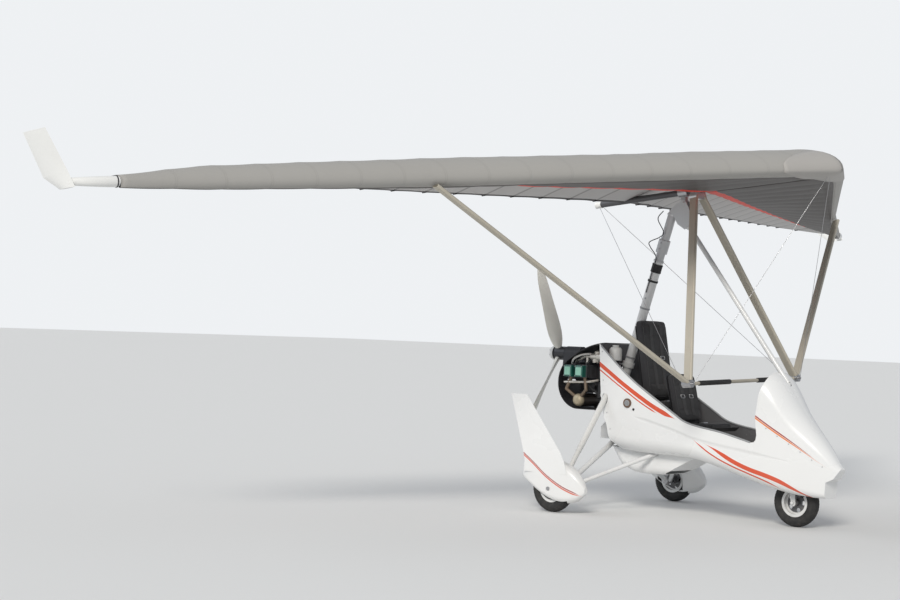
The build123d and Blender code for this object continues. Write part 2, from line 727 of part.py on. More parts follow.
# Engine: open flat four with its gearbox, finned cylinders, rocker covers and pipes
case_top, case_low = 1280.0, 1090.0
case_rear = -430.0
gearbox_rear = -590.0
head_half = 245.0
cover_half = 300.0
fin_size = 114.0
with BuildPart() as engine_case:
    with Locations(at((case_front + case_rear) / 2, 0, (case_top + case_low) / 2)):
        Box(case_front - case_rear, 2 * bank_half, case_top - case_low)
    fillet(engine_case.edges().filter_by(Axis.X), 30)
    with BuildSketch(cross_plane(gearbox_rear)):
        with Locations((0, crank_z)):
            Circle(82)
        with Locations((0, prop_z)):
            Circle(66)
        make_hull()
    extrude(amount=case_rear - gearbox_rear + 10)
    with BuildSketch(cross_plane(case_front)):
        with Locations((0, crank_z)):
            Circle(66)
    extrude(amount=22)
    cut_rod(at(gearbox_rear - 10, 0, prop_z), at(gearbox_rear + 70, 0, prop_z), shaft_r + spin_gap)
engine_case.part.label = "engine_case"
export_step(engine_case.part, "parts/engine_case.step")

with BuildPart() as engine_cylinders:
    for side in (1, -1):
        for station in cylinder_stations:
            rod(at(station, side * bank_half, crank_z), at(station, side * 190, crank_z), 46)
            for step in range(7):
                with Locations(at(station, side * (104 + 12 * step), crank_z)):
                    Box(fin_size, 4, fin_size)
            with Locations(at(station, side * (184 + head_half) / 2, crank_z)):
                Box(fin_size - 6, head_half - 184, fin_size - 6)
engine_cylinders.part.label = "engine_cylinders"
export_step(engine_cylinders.part, "parts/engine_cylinders.step")

with BuildPart() as rocker_covers:
    for side in (1, -1):
        for station in cylinder_stations:
            with Locations(at(station, side * (head_half + cover_half) / 2, crank_z)):
                Box(88, cover_half - head_half, 102)
    tips = rocker_covers.faces().filter_by(Axis.Y).filter_by(lambda f: abs(f.center().Y) > cover_half - 1)
    fillet(tips.edges(), 16)
rocker_covers.part.label = "rocker_covers"
export_step(rocker_covers.part, "parts/rocker_covers.step")

intake_y = 165.0
carb_z = 1318.0
with BuildPart() as intakes:
    for side in (1, -1):
        y = side * intake_y
        head_top = crank_z + fin_size / 2
        path_start = at(cylinder_stations[0], y, head_top)
        with BuildLine() as runner:
            FilletPolyline(
                path_start, at(cylinder_stations[0], y, 1272), at(-270, y, carb_z), at(-196, y, carb_z), radius=18
            )
        with BuildSketch(Plane(origin=path_start, z_dir=(0, 0, 1))):
            Circle(14)
        sweep(path=runner.line)
        rod(at(cylinder_stations[1], y, head_top), at(cylinder_stations[1], y, carb_z - 8), 14)
        rod(at(-200, y, carb_z), at(-130, y, carb_z), 30)
        rod(at(-165, y, carb_z - 52), at(-165, y, carb_z), 24)
        rod(at(-130, y, carb_z), at(-62, y, carb_z), 40)
intakes.part.label = "intakes"
export_step(intakes.part, "parts/intakes.step")

muffler_station, muffler_z, muffler_r, muffler_half = -311.0, 927.0, 57.0, 235.0
pipe_r = 16.0
with BuildPart() as muffler:
    rod(at(muffler_station, -muffler_half, muffler_z), at(muffler_station, muffler_half, muffler_z), muffler_r)
    ends = muffler.faces().filter_by(Axis.Y).edges()
    fillet(ends, 48)
    rod(at(muffler_station, 80, muffler_z - 30), at(muffler_station, 80, muffler_z - 95), 20, 17)
muffler.part.label = "muffler"
export_step(muffler.part, "parts/muffler.step")

with BuildPart() as exhaust_pipes:
    for side in (1, -1):
        for top_station, knee_station, reach in (  # under a head, at the bend, off the muffler's axis
            (cylinder_stations[0] - 14, -436, -22),
            (cylinder_stations[1] + 14, -218, 22),
        ):
            knee = at(knee_station, side * 212, 1022)
            rod(at(top_station, side * 212, crank_z - (fin_size - 6) / 2), knee, pipe_r)
            with Locations(knee):
                Sphere(pipe_r)
            rod(knee, at(muffler_station + reach, side * 196, muffler_z + 24), pipe_r)
    add(muffler.part, mode=Mode.SUBTRACT)
    add(engine_cylinders.part, mode=Mode.SUBTRACT)
exhaust_pipes.part.label = "exhaust_pipes"
export_step(exhaust_pipes.part, "parts/exhaust_pipes.step")

# Engine mount: clamps on the mast with arms to the crankcase
with BuildPart() as engine_mount:
    for clamp_z, case_z, half in mount_arms:
        rod(mast_at(clamp_z - clamp_length / 2), mast_at(clamp_z + clamp_length / 2), clamp_r)
        for side in (1, -1):
            near = mast_at(clamp_z) + Vector(0, side * half, 0)
            rod(near, at(case_front, side * arm_spread, case_z), arm_r)
            with Locations(at(case_front + 4, side * arm_spread, case_z)):
                Box(8, 30, 34)
    cut_rod(mast_at(900), mast_at(1400), mast_r + seat_gap)
    add(engine_case.part, mode=Mode.SUBTRACT)
engine_mount.part.label = "engine_mount"
export_step(engine_mount.part, "parts/engine_mount.step")

# Engine cowl: open-sided band round the engine, notched for the gearbox
band_half = 250.0
band_wall = 5.0
with BuildPart() as engine_cowl:
    with BuildSketch(side_plane()):
        with BuildLine():
            ThreePointArc((30, 1450), (-200, 1400), (-380, 1298))
            ThreePointArc((-380, 1298), (-472, 1210), (-504, 1095))
            ThreePointArc((-504, 1095), (-456, 938), (-305, 850))
            ThreePointArc((-305, 850), (-120, 850), (120, 866))
            Line((120, 866), (30, 1450))
        make_face()
        offset(amount=-band_wall, mode=Mode.SUBTRACT)
    extrude(amount=band_half, both=True)
    meets = [(x - 1.1 * seat_gap, z) for x, z in rear_line[2:]]
    side_prism(meets + [(meets[1][0], 1600), (300, 1600), (300, meets[0][1])], 400, mode=Mode.SUBTRACT)
    with Locations(at(-410, 0, 1270)):
        Box(220, 224, 360, mode=Mode.SUBTRACT)
    cut_rod(mast_at(700), mast_at(1500), mast_r + 5)
    tail = at(muffler_station, 80, muffler_z)
    cut_rod(tail, tail - Vector(0, 0, 120), 26)
engine_cowl.part.label = "engine_cowl"
export_step(engine_cowl.part, "parts/engine_cowl.step")

# Fuel cap on the tub's starboard side
cap_station, cap_z, cap_r = 316.0, 935.0, 40.0
with BuildPart() as fuel_cap:
    rod(at(cap_station, -300, cap_z), at(cap_station, -341, cap_z), cap_r)
    add(pod_outer, mode=Mode.SUBTRACT)
fuel_cap.part.label = "fuel_cap"
export_step(fuel_cap.part, "parts/fuel_cap.step")

# Propeller: hub with its shaft, and three twisted blades
hub_plate_r = 62.0
blade_root = 58.0
blade_sections = (  # radius, chord, thickness, pitch angle
    (blade_root, 62, 50, 50),
    (210, 128, 26, 38),
    (500, 118, 14, 24),
    (780, 78, 8, 16),
    (prop_r, 44, 5, 14),
)
prop_centre = at(prop_station, 0, prop_z)
with BuildPart() as propeller_hub:
    rod(at(gearbox_rear + 60, 0, prop_z), prop_centre, shaft_r)
    rod(at(gearbox_rear - 6, 0, prop_z), at(prop_station - 34, 0, prop_z), hub_plate_r)
    rod(at(prop_station - 34, 0, prop_z), at(prop_station - 66, 0, prop_z), 44)
    fillet(propeller_hub.faces().sort_by(Axis.X)[0].edges(), 14)
propeller_hub.part.label = "propeller_hub"
export_step(propeller_hub.part, "parts/propeller_hub.step")

with BuildPart() as propeller_blades:
    for turn in range(3):
        angle = radians(prop_phase + 120 * turn)
        out = Vector(0, -sin(angle), cos(angle))
        with BuildPart(mode=Mode.PRIVATE) as blade:
            for radius, chord, thick, pitch in blade_sections:
                swing = Vector(1, 0, 0).cross(out)
                chord_dir = swing * cos(radians(pitch)) - Vector(1, 0, 0) * sin(radians(pitch))
                with BuildSketch(Plane(origin=prop_centre + out * radius, x_dir=chord_dir, z_dir=out)):
                    with BuildLine():
                        ThreePointArc((-chord / 2, 0), (0, thick / 2), (chord / 2, 0))
                        ThreePointArc((chord / 2, 0), (0, -thick / 2), (-chord / 2, 0))
                    make_face()
            loft()
        add(blade.part)
    add(propeller_hub.part, mode=Mode.SUBTRACT)
propeller_blades.part.label = "propeller_blades"
export_step(propeller_blades.part, "parts/propeller_blades.step")

# Wing: keel tube, control frame, lift struts and stays
keel_front, keel_rear = 1480.0, -911.0
corner = (461.0, 859.0, -1663.0)
apex = (136.0, 60.0, -53.0)
strut_head = (-195.0, 3070.0, -94.0)
knuckle_r = 32.0
knuckle_half = 43.0
tang_half = 60.0
with BuildPart() as keel_tube:
    rod(wing_at(keel_rear, 0, 0), wing_at(keel_front, 0, 0), keel_r, keel_r - 2)
keel_tube.part.label = "keel_tube"
export_step(keel_tube.part, "parts/keel_tube.step")

with BuildPart() as keel_end_fitting:
    rod(wing_at(keel_rear - 26, 0, 0), wing_at(keel_rear - seat_gap, 0, 0), keel_r + 4)
    rod(wing_at(keel_rear - 2, 0, 0), wing_at(keel_rear + 34, 0, 0), keel_r + 4, keel_r + seat_gap)
keel_end_fitting.part.label = "keel_end_fitting"
export_step(keel_end_fitting.part, "parts/keel_end_fitting.step")

with BuildPart() as apex_bracket:
    with BuildSketch(wing.moved(Plane(origin=(apex[0] - 35, 0, 0), x_dir=(0, 1, 0), z_dir=(1, 0, 0)))):
        with Locations((-apex[1], apex[2]), (apex[1], apex[2])):
            Circle(24)
        with Locations((0, 0)):
            Circle(keel_r + 9)
        make_hull()
        Circle(keel_r + keel_gap, mode=Mode.SUBTRACT)
    extrude(amount=70)
apex_bracket.part.label = "apex_bracket"
export_step(apex_bracket.part, "parts/apex_bracket.step")

with BuildPart() as corner_fittings:
    for side in (1, -1):
        place = (corner[0], side * corner[1], corner[2])
        for half, radius in ((knuckle_half, knuckle_r), (tang_half, 9)):
            rod(wing_at(place[0] - half, *place[1:]), wing_at(place[0] + half, *place[1:]), radius)
corner_fittings.part.label = "corner_fittings"
export_step(corner_fittings.part, "parts/corner_fittings.step")

with BuildPart() as basebar:
    rod(wing_at(corner[0], -corner[1], corner[2]), wing_at(corner[0], corner[1], corner[2]), 15, 13)
    add(corner_fittings.part, mode=Mode.SUBTRACT)
    for side in (1, -1):
        with Locations(wing_at(corner[0], side * (corner[1] + 10), corner[2])):
            Box(100, 60, 100, mode=Mode.SUBTRACT)
basebar.part.label = "basebar"
export_step(basebar.part, "parts/basebar.step")

# columns: y, leading edge x and z, bottom z, crest z, trailing edge x and z, lower skin's rear edge z
sail_rows = (
    (0.0, 1530.0, 0.0, -50.0, 220.0, -650.0, -15.0, -25.0),
    (500.0, 1271.0, -5.0, -58.0, 210.0, -772.0, 0.0, -12.0),
    (1600.0, 643.0, -14.0, -74.0, 179.0, -1041.0, 20.0, 8.0),
    (3070.0, -195.0, -30.0, -99.0, 147.0, -1400.0, 52.0, 45.0),
    (4560.0, -961.0, -50.0, -101.0, 83.0, -1694.0, 62.0, 50.0),
    (5148.0, -1263.0, -43.0, -89.0, 7.0, -1513.0, 0.0, -14.0),
)
crest_share, skin_share, nose_share = 0.25, 0.60, 0.08
sail_edge = 8.0
sail_wall = 4.0
tip_y = sail_rows[-1][0]
cap_x = 1290.0


def sail_outline(y, lead, lead_z, bottom, crest, trail, trail_z, skin_z, inside):
    """Section of the wing, or of the hollow inside its double skin, in a plane across the span."""
    chord = lead - trail
    crest_x = lead - crest_share * chord
    skin_x = lead - skin_share * chord
    nose_x = lead - nose_share * chord
    drop = crest - trail_z
    arc_r = ((crest_x - trail) ** 2 + drop**2) / (2 * drop)

    def top_z(x, inset):
        return crest - arc_r + sqrt((arc_r - inset) ** 2 - (crest_x - x) ** 2)

    wall_in = sail_wall if inside else 0.0
    peak = (crest_x, crest - wall_in)
    over_r = (lead - wall_in - crest_x, crest - wall_in - lead_z)
    under_r = (lead - wall_in - nose_x, lead_z - bottom - wall_in)
    EllipticalCenterArc((crest_x, lead_z), *over_r, start_angle=0, arc_size=90)
    EllipticalCenterArc((nose_x, lead_z), *under_r, start_angle=270, arc_size=90)
    low = (nose_x, bottom + wall_in)
    if inside:
        rear_x = skin_x + wall_in
        rear_top = (rear_x, top_z(rear_x, wall_in))
        middle = (crest_x + rear_x) / 2
        ThreePointArc(peak, (middle, top_z(middle, wall_in)), rear_top)
        rear_low = (rear_x, skin_z + wall_in)
        Line(rear_top, rear_low)
        Line(rear_low, low)
    else:
        middle = (crest_x + trail) / 2
        ThreePointArc(peak, (middle, top_z(middle, 0)), (trail, trail_z))
        under = (trail, top_z(trail, sail_edge))
        Line((trail, trail_z), under)
        middle = (skin_x + trail) / 2
        rear_top = (skin_x, top_z(skin_x, sail_edge))
        ThreePointArc(under, (middle, top_z(middle, sail_edge)), rear_top)
        Line(rear_top, (skin_x, skin_z))
        Line((skin_x, skin_z), low)


def sail_volume(inside):
    """Port half of the wing, or the hollow inside it."""
    with BuildPart() as volume:
        for row in sail_rows:
            y = row[0] - (sail_wall if inside and row[0] == tip_y else 0)
            with BuildSketch(wing_side(y)):
                with BuildLine():
                    sail_outline(*row, inside)
                make_face()
        loft(ruled=True)
    return volume.part


def cap_region(mode):
    """Region ahead of the line where the nose cap meets the sails, in the open part."""
    with BuildSketch(wing.moved(Plane(origin=(cap_x, 0, 0), x_dir=(0, 1, 0), z_dir=(1, 0, 0)))) as face:
        Rectangle(2000, 1000)
    extrude(face.sketch, amount=600, mode=mode)


wing_middle = Plane(origin=wing.origin, x_dir=wing.x_dir, z_dir=wing.y_dir)
with BuildPart() as port_half:
    add(sail_volume(False))
    add(sail_volume(True), mode=Mode.SUBTRACT)
    cut_rod(wing_at(-1000, 0, 0), wing_at(keel_front + 8, 0, 0), keel_r + keel_gap)
with BuildPart() as starboard_half:
    mirror(port_half.part, about=wing_middle)
for half_wing, name in ((port_half, "left"), (starboard_half, "right")):
    with BuildPart() as sail:
        add(half_wing.part)
        cap_region(Mode.SUBTRACT)
    sail.part.label = f"sail_{name}"
    export_step(sail.part, f"parts/sail_{name}.step")

with BuildPart() as nose_cap:
    add(port_half.part)
    add(starboard_half.part)
    cap_region(Mode.INTERSECT)
nose_cap.part.label = "nose_cap"
export_step(nose_cap.part, "parts/nose_cap.step")

with BuildPart() as downtubes:
    for side in (1, -1):
        top = wing_at(apex[0], side * apex[1], apex[2])
        fair_tube(top, wing_at(corner[0], side * corner[1], corner[2]), 80, 32)
    add(apex_bracket.part, mode=Mode.SUBTRACT)
    add(corner_fittings.part, mode=Mode.SUBTRACT)
downtubes.part.label = "downtubes"
export_step(downtubes.part, "parts/downtubes.step")

with BuildPart() as whole_wing:
    add(sail_volume(False))
    mirror(about=wing_middle)
wing_solid = whole_wing.part

with BuildPart() as lift_struts:
    for side in (1, -1):
        low = wing_at(corner[0], side * corner[1], corner[2])
        fair_tube(low, wing_at(strut_head[0], side * strut_head[1], strut_head[2]), 72, 30)
    add(corner_fittings.part, mode=Mode.SUBTRACT)
    add(wing_solid, mode=Mode.SUBTRACT)
lift_struts.part.label = "lift_struts"
export_step(lift_struts.part, "parts/lift_struts.step")

stay_r = 2.0
with BuildPart() as stays:
    for side in (1, -1):
        aft_foot = wing_at(corner[0] - tang_half + 6, side * corner[1], corner[2])
        rod(aft_foot, wing_at(keel_rear + 16, side * 24, -10), stay_r)
        fore_foot = wing_at(corner[0] + tang_half - 6, side * corner[1], corner[2])
        rod(fore_foot, wing_at(1400, side * 16, -40), stay_r)
    add(corner_fittings.part, mode=Mode.SUBTRACT)
    add(keel_end_fitting.part, mode=Mode.SUBTRACT)
    add(wing_solid, mode=Mode.SUBTRACT)
    add(downtubes.part, mode=Mode.SUBTRACT)
    add(lift_struts.part, mode=Mode.SUBTRACT)
    cut_rod(wing_at(keel_rear - 20, 0, 0), wing_at(keel_front, 0, 0), keel_r + 4)
stays.part.label = "stays"
export_step(stays.part, "parts/stays.step")

# Winglets: a sleeve out of each wing tip and a swept blade on its end
winglet_rows = (  # height, leading edge x, trailing edge x, y, thickness
    (-82, -1390, -1560, 5446, 30),
    (17, -1422, -1707, 5470, 28),
    (345, -1558, -1812, 5547, 12),
)
for side, name in ((1, "left"), (-1, "right")):
    with BuildPart() as winglet:
        for y, x, z, radius in ((tip_y, -1306, -41, 40), (5300, -1352, -44, 36), (5462, -1452, -40, 26)):
            with BuildSketch(wing_side(side * y)):
                with Locations((x, z)):
                    Circle(radius)
        loft()
        for z, lead, trail, y, thickness in winglet_rows:
            with BuildSketch(wing.moved(Plane(origin=(0, side * y, z)))):
                peak = lead + 0.38 * (trail - lead)
                with BuildLine():
                    ThreePointArc((lead, 0), (peak, thickness / 2), (trail, 0))
                    ThreePointArc((trail, 0), (peak, -thickness / 2), (lead, 0))
                make_face()
        loft(ruled=True)
    winglet.part.label = f"winglet_{name}"
    export_step(winglet.part, f"parts/winglet_{name}.step")
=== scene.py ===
import bmesh
import bpy
import json
import math
from mathutils import Matrix, Vector, noise
from mathutils.bvhtree import BVHTree


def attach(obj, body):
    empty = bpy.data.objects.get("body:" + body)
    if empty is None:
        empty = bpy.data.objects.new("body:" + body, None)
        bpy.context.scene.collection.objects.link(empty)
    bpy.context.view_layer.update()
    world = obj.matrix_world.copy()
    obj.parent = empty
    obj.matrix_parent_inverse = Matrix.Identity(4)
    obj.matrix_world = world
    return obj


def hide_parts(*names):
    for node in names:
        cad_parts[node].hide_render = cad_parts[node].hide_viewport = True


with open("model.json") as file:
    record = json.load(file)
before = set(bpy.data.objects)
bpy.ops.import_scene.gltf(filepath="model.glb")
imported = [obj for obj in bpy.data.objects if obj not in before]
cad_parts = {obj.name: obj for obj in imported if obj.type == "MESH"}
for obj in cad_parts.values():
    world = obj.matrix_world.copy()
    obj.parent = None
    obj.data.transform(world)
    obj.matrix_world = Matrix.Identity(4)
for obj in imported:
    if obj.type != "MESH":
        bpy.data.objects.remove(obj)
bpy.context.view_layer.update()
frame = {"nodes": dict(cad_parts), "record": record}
print("frame loaded:", len(frame["nodes"]), "nodes")

# Meshes: small helpers that turn points and faces into finished pieces


def newObject(name, mesh):
    piece = bpy.data.objects.new(name, mesh)
    bpy.context.scene.collection.objects.link(piece)
    return piece


def meshFrom(name, points, faces, smooth=True):
    mesh = bpy.data.meshes.new(name)
    mesh.from_pydata([tuple(p) for p in points], [], faces)
    mesh.validate()
    if smooth:
        mesh.shade_smooth()
    else:
        mesh.shade_flat()
    return mesh


def dress(piece, body, slot, *materials):
    for material in materials:
        piece.data.materials.append(material)
    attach(piece, body)
    return piece


def settled(piece):  # its modifiers become plain mesh
    evaluated = piece.evaluated_get(bpy.context.evaluated_depsgraph_get())
    piece.data = bpy.data.meshes.new_from_object(evaluated)
    piece.modifiers.clear()
    return piece


def outward(mesh, angle=40.0):
    work = bmesh.new()
    work.from_mesh(mesh)
    bmesh.ops.recalc_face_normals(work, faces=work.faces)
    work.to_mesh(mesh)
    work.free()
    mesh.shade_smooth()
    mesh.set_sharp_from_angle(angle=math.radians(angle))


axles = {"mainX": -0.485, "noseX": 1.318, "z": 0.2}


def at(station, y, z):  # a place on the trike, from its distance ahead of the main axle
    return Vector((axles["mainX"] + station, y, z))


def curved(points, steps=6):  # a smooth line through the points
    points = [Vector(p) for p in points]
    ends = [2 * points[0] - points[1], *points, 2 * points[-1] - points[-2]]
    line = []
    for a, b, c, d in zip(ends, ends[1:], ends[2:], ends[3:]):
        for i in range(steps):
            t = i / steps
            second, third = 2 * a - 5 * b + 4 * c - d, 3 * b - a - 3 * c + d
            line.append(0.5 * (2 * b + (c - a) * t + second * t**2 + third * t**3))
    return line + [points[-1]]


class Shape:  # gathers the shells of one piece
    def __init__(self):
        self.points = []
        self.faces = []

    def rings(self, rings, closed=False):
        base, sides, count = len(self.points), len(rings[0]), len(rings)
        for ring in rings:
            self.points += ring
        for i in range(count if closed else count - 1):
            near, far = base + i * sides, base + (i + 1) % count * sides
            for j in range(sides):
                k = (j + 1) % sides
                self.faces.append((near + j, near + k, far + k, far + j))
        if not closed:
            self.faces.append(tuple(range(base, base + sides)))
            self.faces.append(tuple(range(base + (count - 1) * sides, base + count * sides)))
        return self

    def sweep(self, path, radius, sides=12, closed=False, flat=1.0, across=None):
        path = [Vector(p) for p in path]
        radii = radius if isinstance(radius, (list, tuple)) else [radius] * len(path)
        rings, side = [], Vector(across) if across else None
        for i, (point, size) in enumerate(zip(path, radii)):
            before = path[i - 1] if closed or i else path[0]
            after = path[(i + 1) % len(path)] if closed or i < len(path) - 1 else path[-1]
            ahead = (after - before).normalized()
            side = side or ahead.orthogonal()
            side = (side - ahead * side.dot(ahead)).normalized()
            up = ahead.cross(side)
            turns = [2 * math.pi * k / sides for k in range(sides)]
            rings.append([point + (side * math.cos(a) + up * math.sin(a) * flat) * size for a in turns])
        return self.rings(rings, closed)

    def turned(self, start, axis, profile, sides=24):  # profile of (distance along, radius)
        axis = Vector(axis).normalized()
        side = axis.orthogonal().normalized()
        up = axis.cross(side)
        turns = [2 * math.pi * k / sides for k in range(sides)]
        rings = [
            [Vector(start) + axis * along + (side * math.cos(a) + up * math.sin(a)) * radius for a in turns]
            for along, radius in profile
        ]
        return self.rings(rings)

    def prism(self, outline, depth):
        outline = [Vector(p) for p in outline]
        return self.rings([outline, [p + Vector(depth) for p in outline]])

    def strap(self, path, normals, width, thickness):  # a flat band that lies along a line
        rings = []
        for i, (point, normal) in enumerate(zip(path, normals)):
            ahead = (path[min(i + 1, len(path) - 1)] - path[max(i - 1, 0)]).normalized()
            side = ahead.cross(normal).normalized() * width / 2
            rise = normal.normalized() * thickness
            rings.append([point - side, point + side, point + side + rise, point - side + rise])
        return self.rings(rings)

    def piece(self, name, body, slot, *materials, angle=40.0, bevel=0.0):
        mesh = meshFrom(name, self.points, self.faces)
        outward(mesh, angle)
        piece = newObject(name, mesh)
        if bevel:
            edges = piece.modifiers.new("edges", "BEVEL")
            edges.width = bevel
            edges.segments = 2
            settled(piece)
            piece.data.shade_smooth()
            piece.data.set_sharp_from_angle(angle=math.radians(angle))
        return dress(piece, body, slot, *materials)


def skinOf(*nodes):  # what lines are laid on
    points, faces = [], []
    for node in nodes:
        mesh = frame["nodes"][node].data
        faces += [tuple(v + len(points) for v in face.vertices) for face in mesh.polygons]
        points += [vertex.co.copy() for vertex in mesh.vertices]
    return BVHTree.FromPolygons(points, faces)


def laid(skin, places, toward, lift=0.0):  # each place moved along a direction on to the skin
    found = []
    for place in places:
        spot, normal, _, _ = skin.ray_cast(Vector(place), Vector(toward).normalized())
        if spot:
            found.append((spot + normal * lift, normal))
    return found


# Nodes: shader and geometry trees written as expressions
class Signal:  # one output socket, so that node maths reads as an expression
    def __init__(self, graph, socket):
        self.graph = graph
        self.socket = socket

    def math(self, operation, other=0.0, swapped=False):
        first, second = (other, self) if swapped else (self, other)
        return self.graph.node("ShaderNodeMath", {"operation": operation}, {0: first, 1: second})

    def __add__(self, other):
        return self.math("ADD", other)

    __radd__ = __add__

    def __sub__(self, other):
        return self.math("SUBTRACT", other)

    def __rsub__(self, other):
        return self.math("SUBTRACT", other, True)

    def __mul__(self, other):
        return self.math("MULTIPLY", other)

    __rmul__ = __mul__

    def __gt__(self, other):
        return self.math("GREATER_THAN", other)

    def __lt__(self, other):
        return self.math("LESS_THAN", other)


class Graph:  # a tree of nodes, for a material or for geometry
    def __init__(self, tree):
        self.tree = tree

    def node(self, kind, settings=None, sockets=None, out=0):
        made = self.tree.nodes.new(kind)
        for name, value in (settings or {}).items():
            if name == "line":  # points of a curve through both ends
                points = made.mapping.curves[0].points
                for place in value[1:-1]:
                    points.new(*place)
                for point, place in zip(points, value):
                    point.location = place
                made.mapping.update()
            else:
                setattr(made, name, value)
        for key, value in (sockets or {}).items():
            self.feed(made.inputs[key], value)
        return Signal(self, made.outputs[out])

    def feed(self, socket, value):
        if isinstance(value, Signal):
            self.tree.links.new(value.socket, socket)
        else:
            socket.default_value = value


class Paint(Graph):
    def __init__(self, name, **fixed):
        self.material = bpy.data.materials.new(name)
        self.material.use_nodes = True
        super().__init__(self.material.node_tree)
        self.surface = self.tree.nodes["Principled BSDF"]
        for socket, value in fixed.items():
            self.surface.inputs[socket.replace("_", " ")].default_value = value

    def use(self, **inputs):
        for name, value in inputs.items():
            value = (*value, 1) if isinstance(value, tuple) and len(value) == 3 else value
            self.feed(self.surface.inputs[name.replace("_", " ")], value)
        return self.material

    def place(self):
        return self.node("ShaderNodeTexCoord", out=3)

    def split(self, vector):
        parts = self.node("ShaderNodeSeparateXYZ", None, {0: vector}).socket.node.outputs
        return [Signal(self, parts[axis]) for axis in range(3)]

    def given(self, attribute, out=1):
        return self.node("ShaderNodeAttribute", {"attribute_name": attribute}, None, out)

    def noise(self, scale, detail=4.0, stretch=None):
        vector = self.place()
        if stretch:
            vector = self.node("ShaderNodeMapping", None, {"Vector": vector, "Scale": stretch})
        return self.node("ShaderNodeTexNoise", None, {"Vector": vector, "Scale": scale, "Detail": detail})

    def ramp(self, value, low, high, start=0.0, end=1.0):
        sockets = {0: value, 1: low, 2: high, 3: start, 4: end}
        return self.node("ShaderNodeMapRange", {"interpolation_type": "SMOOTHSTEP"}, sockets)

    def mix(self, factor, first, second):
        first = (*first, 1) if isinstance(first, tuple) else first
        second = (*second, 1) if isinstance(second, tuple) else second
        return self.node("ShaderNodeMix", {"data_type": "RGBA"}, {0: factor, 6: first, 7: second}, out=2)

    def bump(self, height, strength=0.5, distance=0.001):
        sockets = {"Height": height, "Strength": strength, "Distance": distance}
        return self.node("ShaderNodeBump", None, sockets)

    def band(self, value, centre, half, soft=0.0015):
        return self.ramp((value - centre).math("ABSOLUTE"), half + soft, half - soft)

    def radius(self, first, second, centre):  # distance from an axle's line
        return ((first - centre[0]).math("POWER", 2.0) + (second - centre[1]).math("POWER", 2.0)).math("SQRT")

    def line(self, along, spots):
        first, last = spots[0][0], spots[-1][0]
        low, high = min(z for _, z in spots), max(z for _, z in spots)
        places = [((x - first) / (last - first), (z - low) / (high - low)) for x, z in spots]
        share = self.node("ShaderNodeMapRange", None, {0: along, 1: first, 2: last, 3: 0.0, 4: 1.0})
        return self.node("ShaderNodeFloatCurve", {"line": places}, {1: share}) * (high - low) + low

    def stripe(self, along, height, facts, soft=0.0015):  # widest in the middle, pointed at its ends
        spots, (start, end) = facts["spots"], facts["taper"]
        first, last = spots[0][0], spots[-1][0]
        swell = self.ramp(along, first, first + start) * self.ramp(along, last, last - end)
        room = swell * facts["half"] - (height - self.line(along, spots)).math("ABSOLUTE")
        inside = self.ramp(along, first, first + soft) * self.ramp(along, last, last - soft)
        return self.ramp(room, -soft, soft) * inside


class Growth(Graph):  # a geometry tree with named inputs, run on a line of points
    def __init__(self, name, **sizes):
        super().__init__(bpy.data.node_groups.new(name, "GeometryNodeTree"))
        face = self.tree.interface
        face.new_socket("Geometry", in_out="INPUT", socket_type="NodeSocketGeometry")
        face.new_socket("Geometry", in_out="OUTPUT", socket_type="NodeSocketGeometry")
        self.keys = {}
        for size, value in sizes.items():
            socket = face.new_socket(size, in_out="INPUT", socket_type="NodeSocketFloat")
            socket.default_value = value
            self.keys[size] = socket.identifier
        self.entry = self.tree.nodes.new("NodeGroupInput")

    def given(self, size):
        return Signal(self, self.entry.outputs[size])

    def close(self, geometry, material):
        real = self.node("GeometryNodeRealizeInstances", None, {0: geometry})
        dressed = self.node("GeometryNodeSetMaterial", None, {"Geometry": real, "Material": material})
        self.feed(self.tree.nodes.new("NodeGroupOutput").inputs[0], dressed)

    def grow(self, name, mesh, **sizes):
        piece = newObject(name, mesh)
        modifier = piece.modifiers.new(self.tree.name, "NODES")
        modifier.node_group = self.tree
        for size, value in sizes.items():
            modifier[self.keys[size]] = value
        return settled(piece)


def lineMesh(name, places):  # places of (point, facing), joined into one line for a tree to follow
    mesh = bpy.data.meshes.new(name)
    mesh.from_pydata([tuple(p) for p, _ in places], [(i, i + 1) for i in range(len(places) - 1)], [])
    facing = mesh.attributes.new("facing", "FLOAT_VECTOR", "POINT")
    facing.data.foreach_set("vector", [value for _, normal in places for value in normal])
    return mesh


# Stage: camera at the photograph's angle, pale floor and backdrop, soft studio light
shot = {
    "place": (8.532, -12.792, 1.5),
    "heading": 40.832,  # degrees to port of the nose-on view
    "pitch": 1.003,
    "roll": 2.182,
    "focalPixels": 1751.64,
    "imageWidth": 900,
    "sensorWidth": 36,
    "farthest": 500,
}


def makeCamera():
    heading, pitch, roll = (math.radians(shot[key]) for key in ("heading", "pitch", "roll"))
    level = math.cos(pitch)
    ahead = Vector((-math.sin(heading) * level, math.cos(heading) * level, math.sin(pitch)))
    levelRight = ahead.cross(Vector((0, 0, 1))).normalized()
    levelUp = levelRight.cross(ahead)
    right = levelRight * math.cos(roll) + levelUp * math.sin(roll)
    up = levelUp * math.cos(roll) - levelRight * math.sin(roll)
    camera = bpy.data.objects.new("shotCamera", bpy.data.cameras.new("shotCamera"))
    bpy.context.scene.collection.objects.link(camera)
    turn = Matrix((right, up, -ahead)).transposed()
    camera.matrix_world = Matrix.Translation(shot["place"]) @ turn.to_4x4()
    camera.data.sensor_width = shot["sensorWidth"]
    camera.data.lens = shot["focalPixels"] * camera.data.sensor_width / shot["imageWidth"]
    camera.data.clip_end = shot["farthest"]
    bpy.context.scene.camera = camera


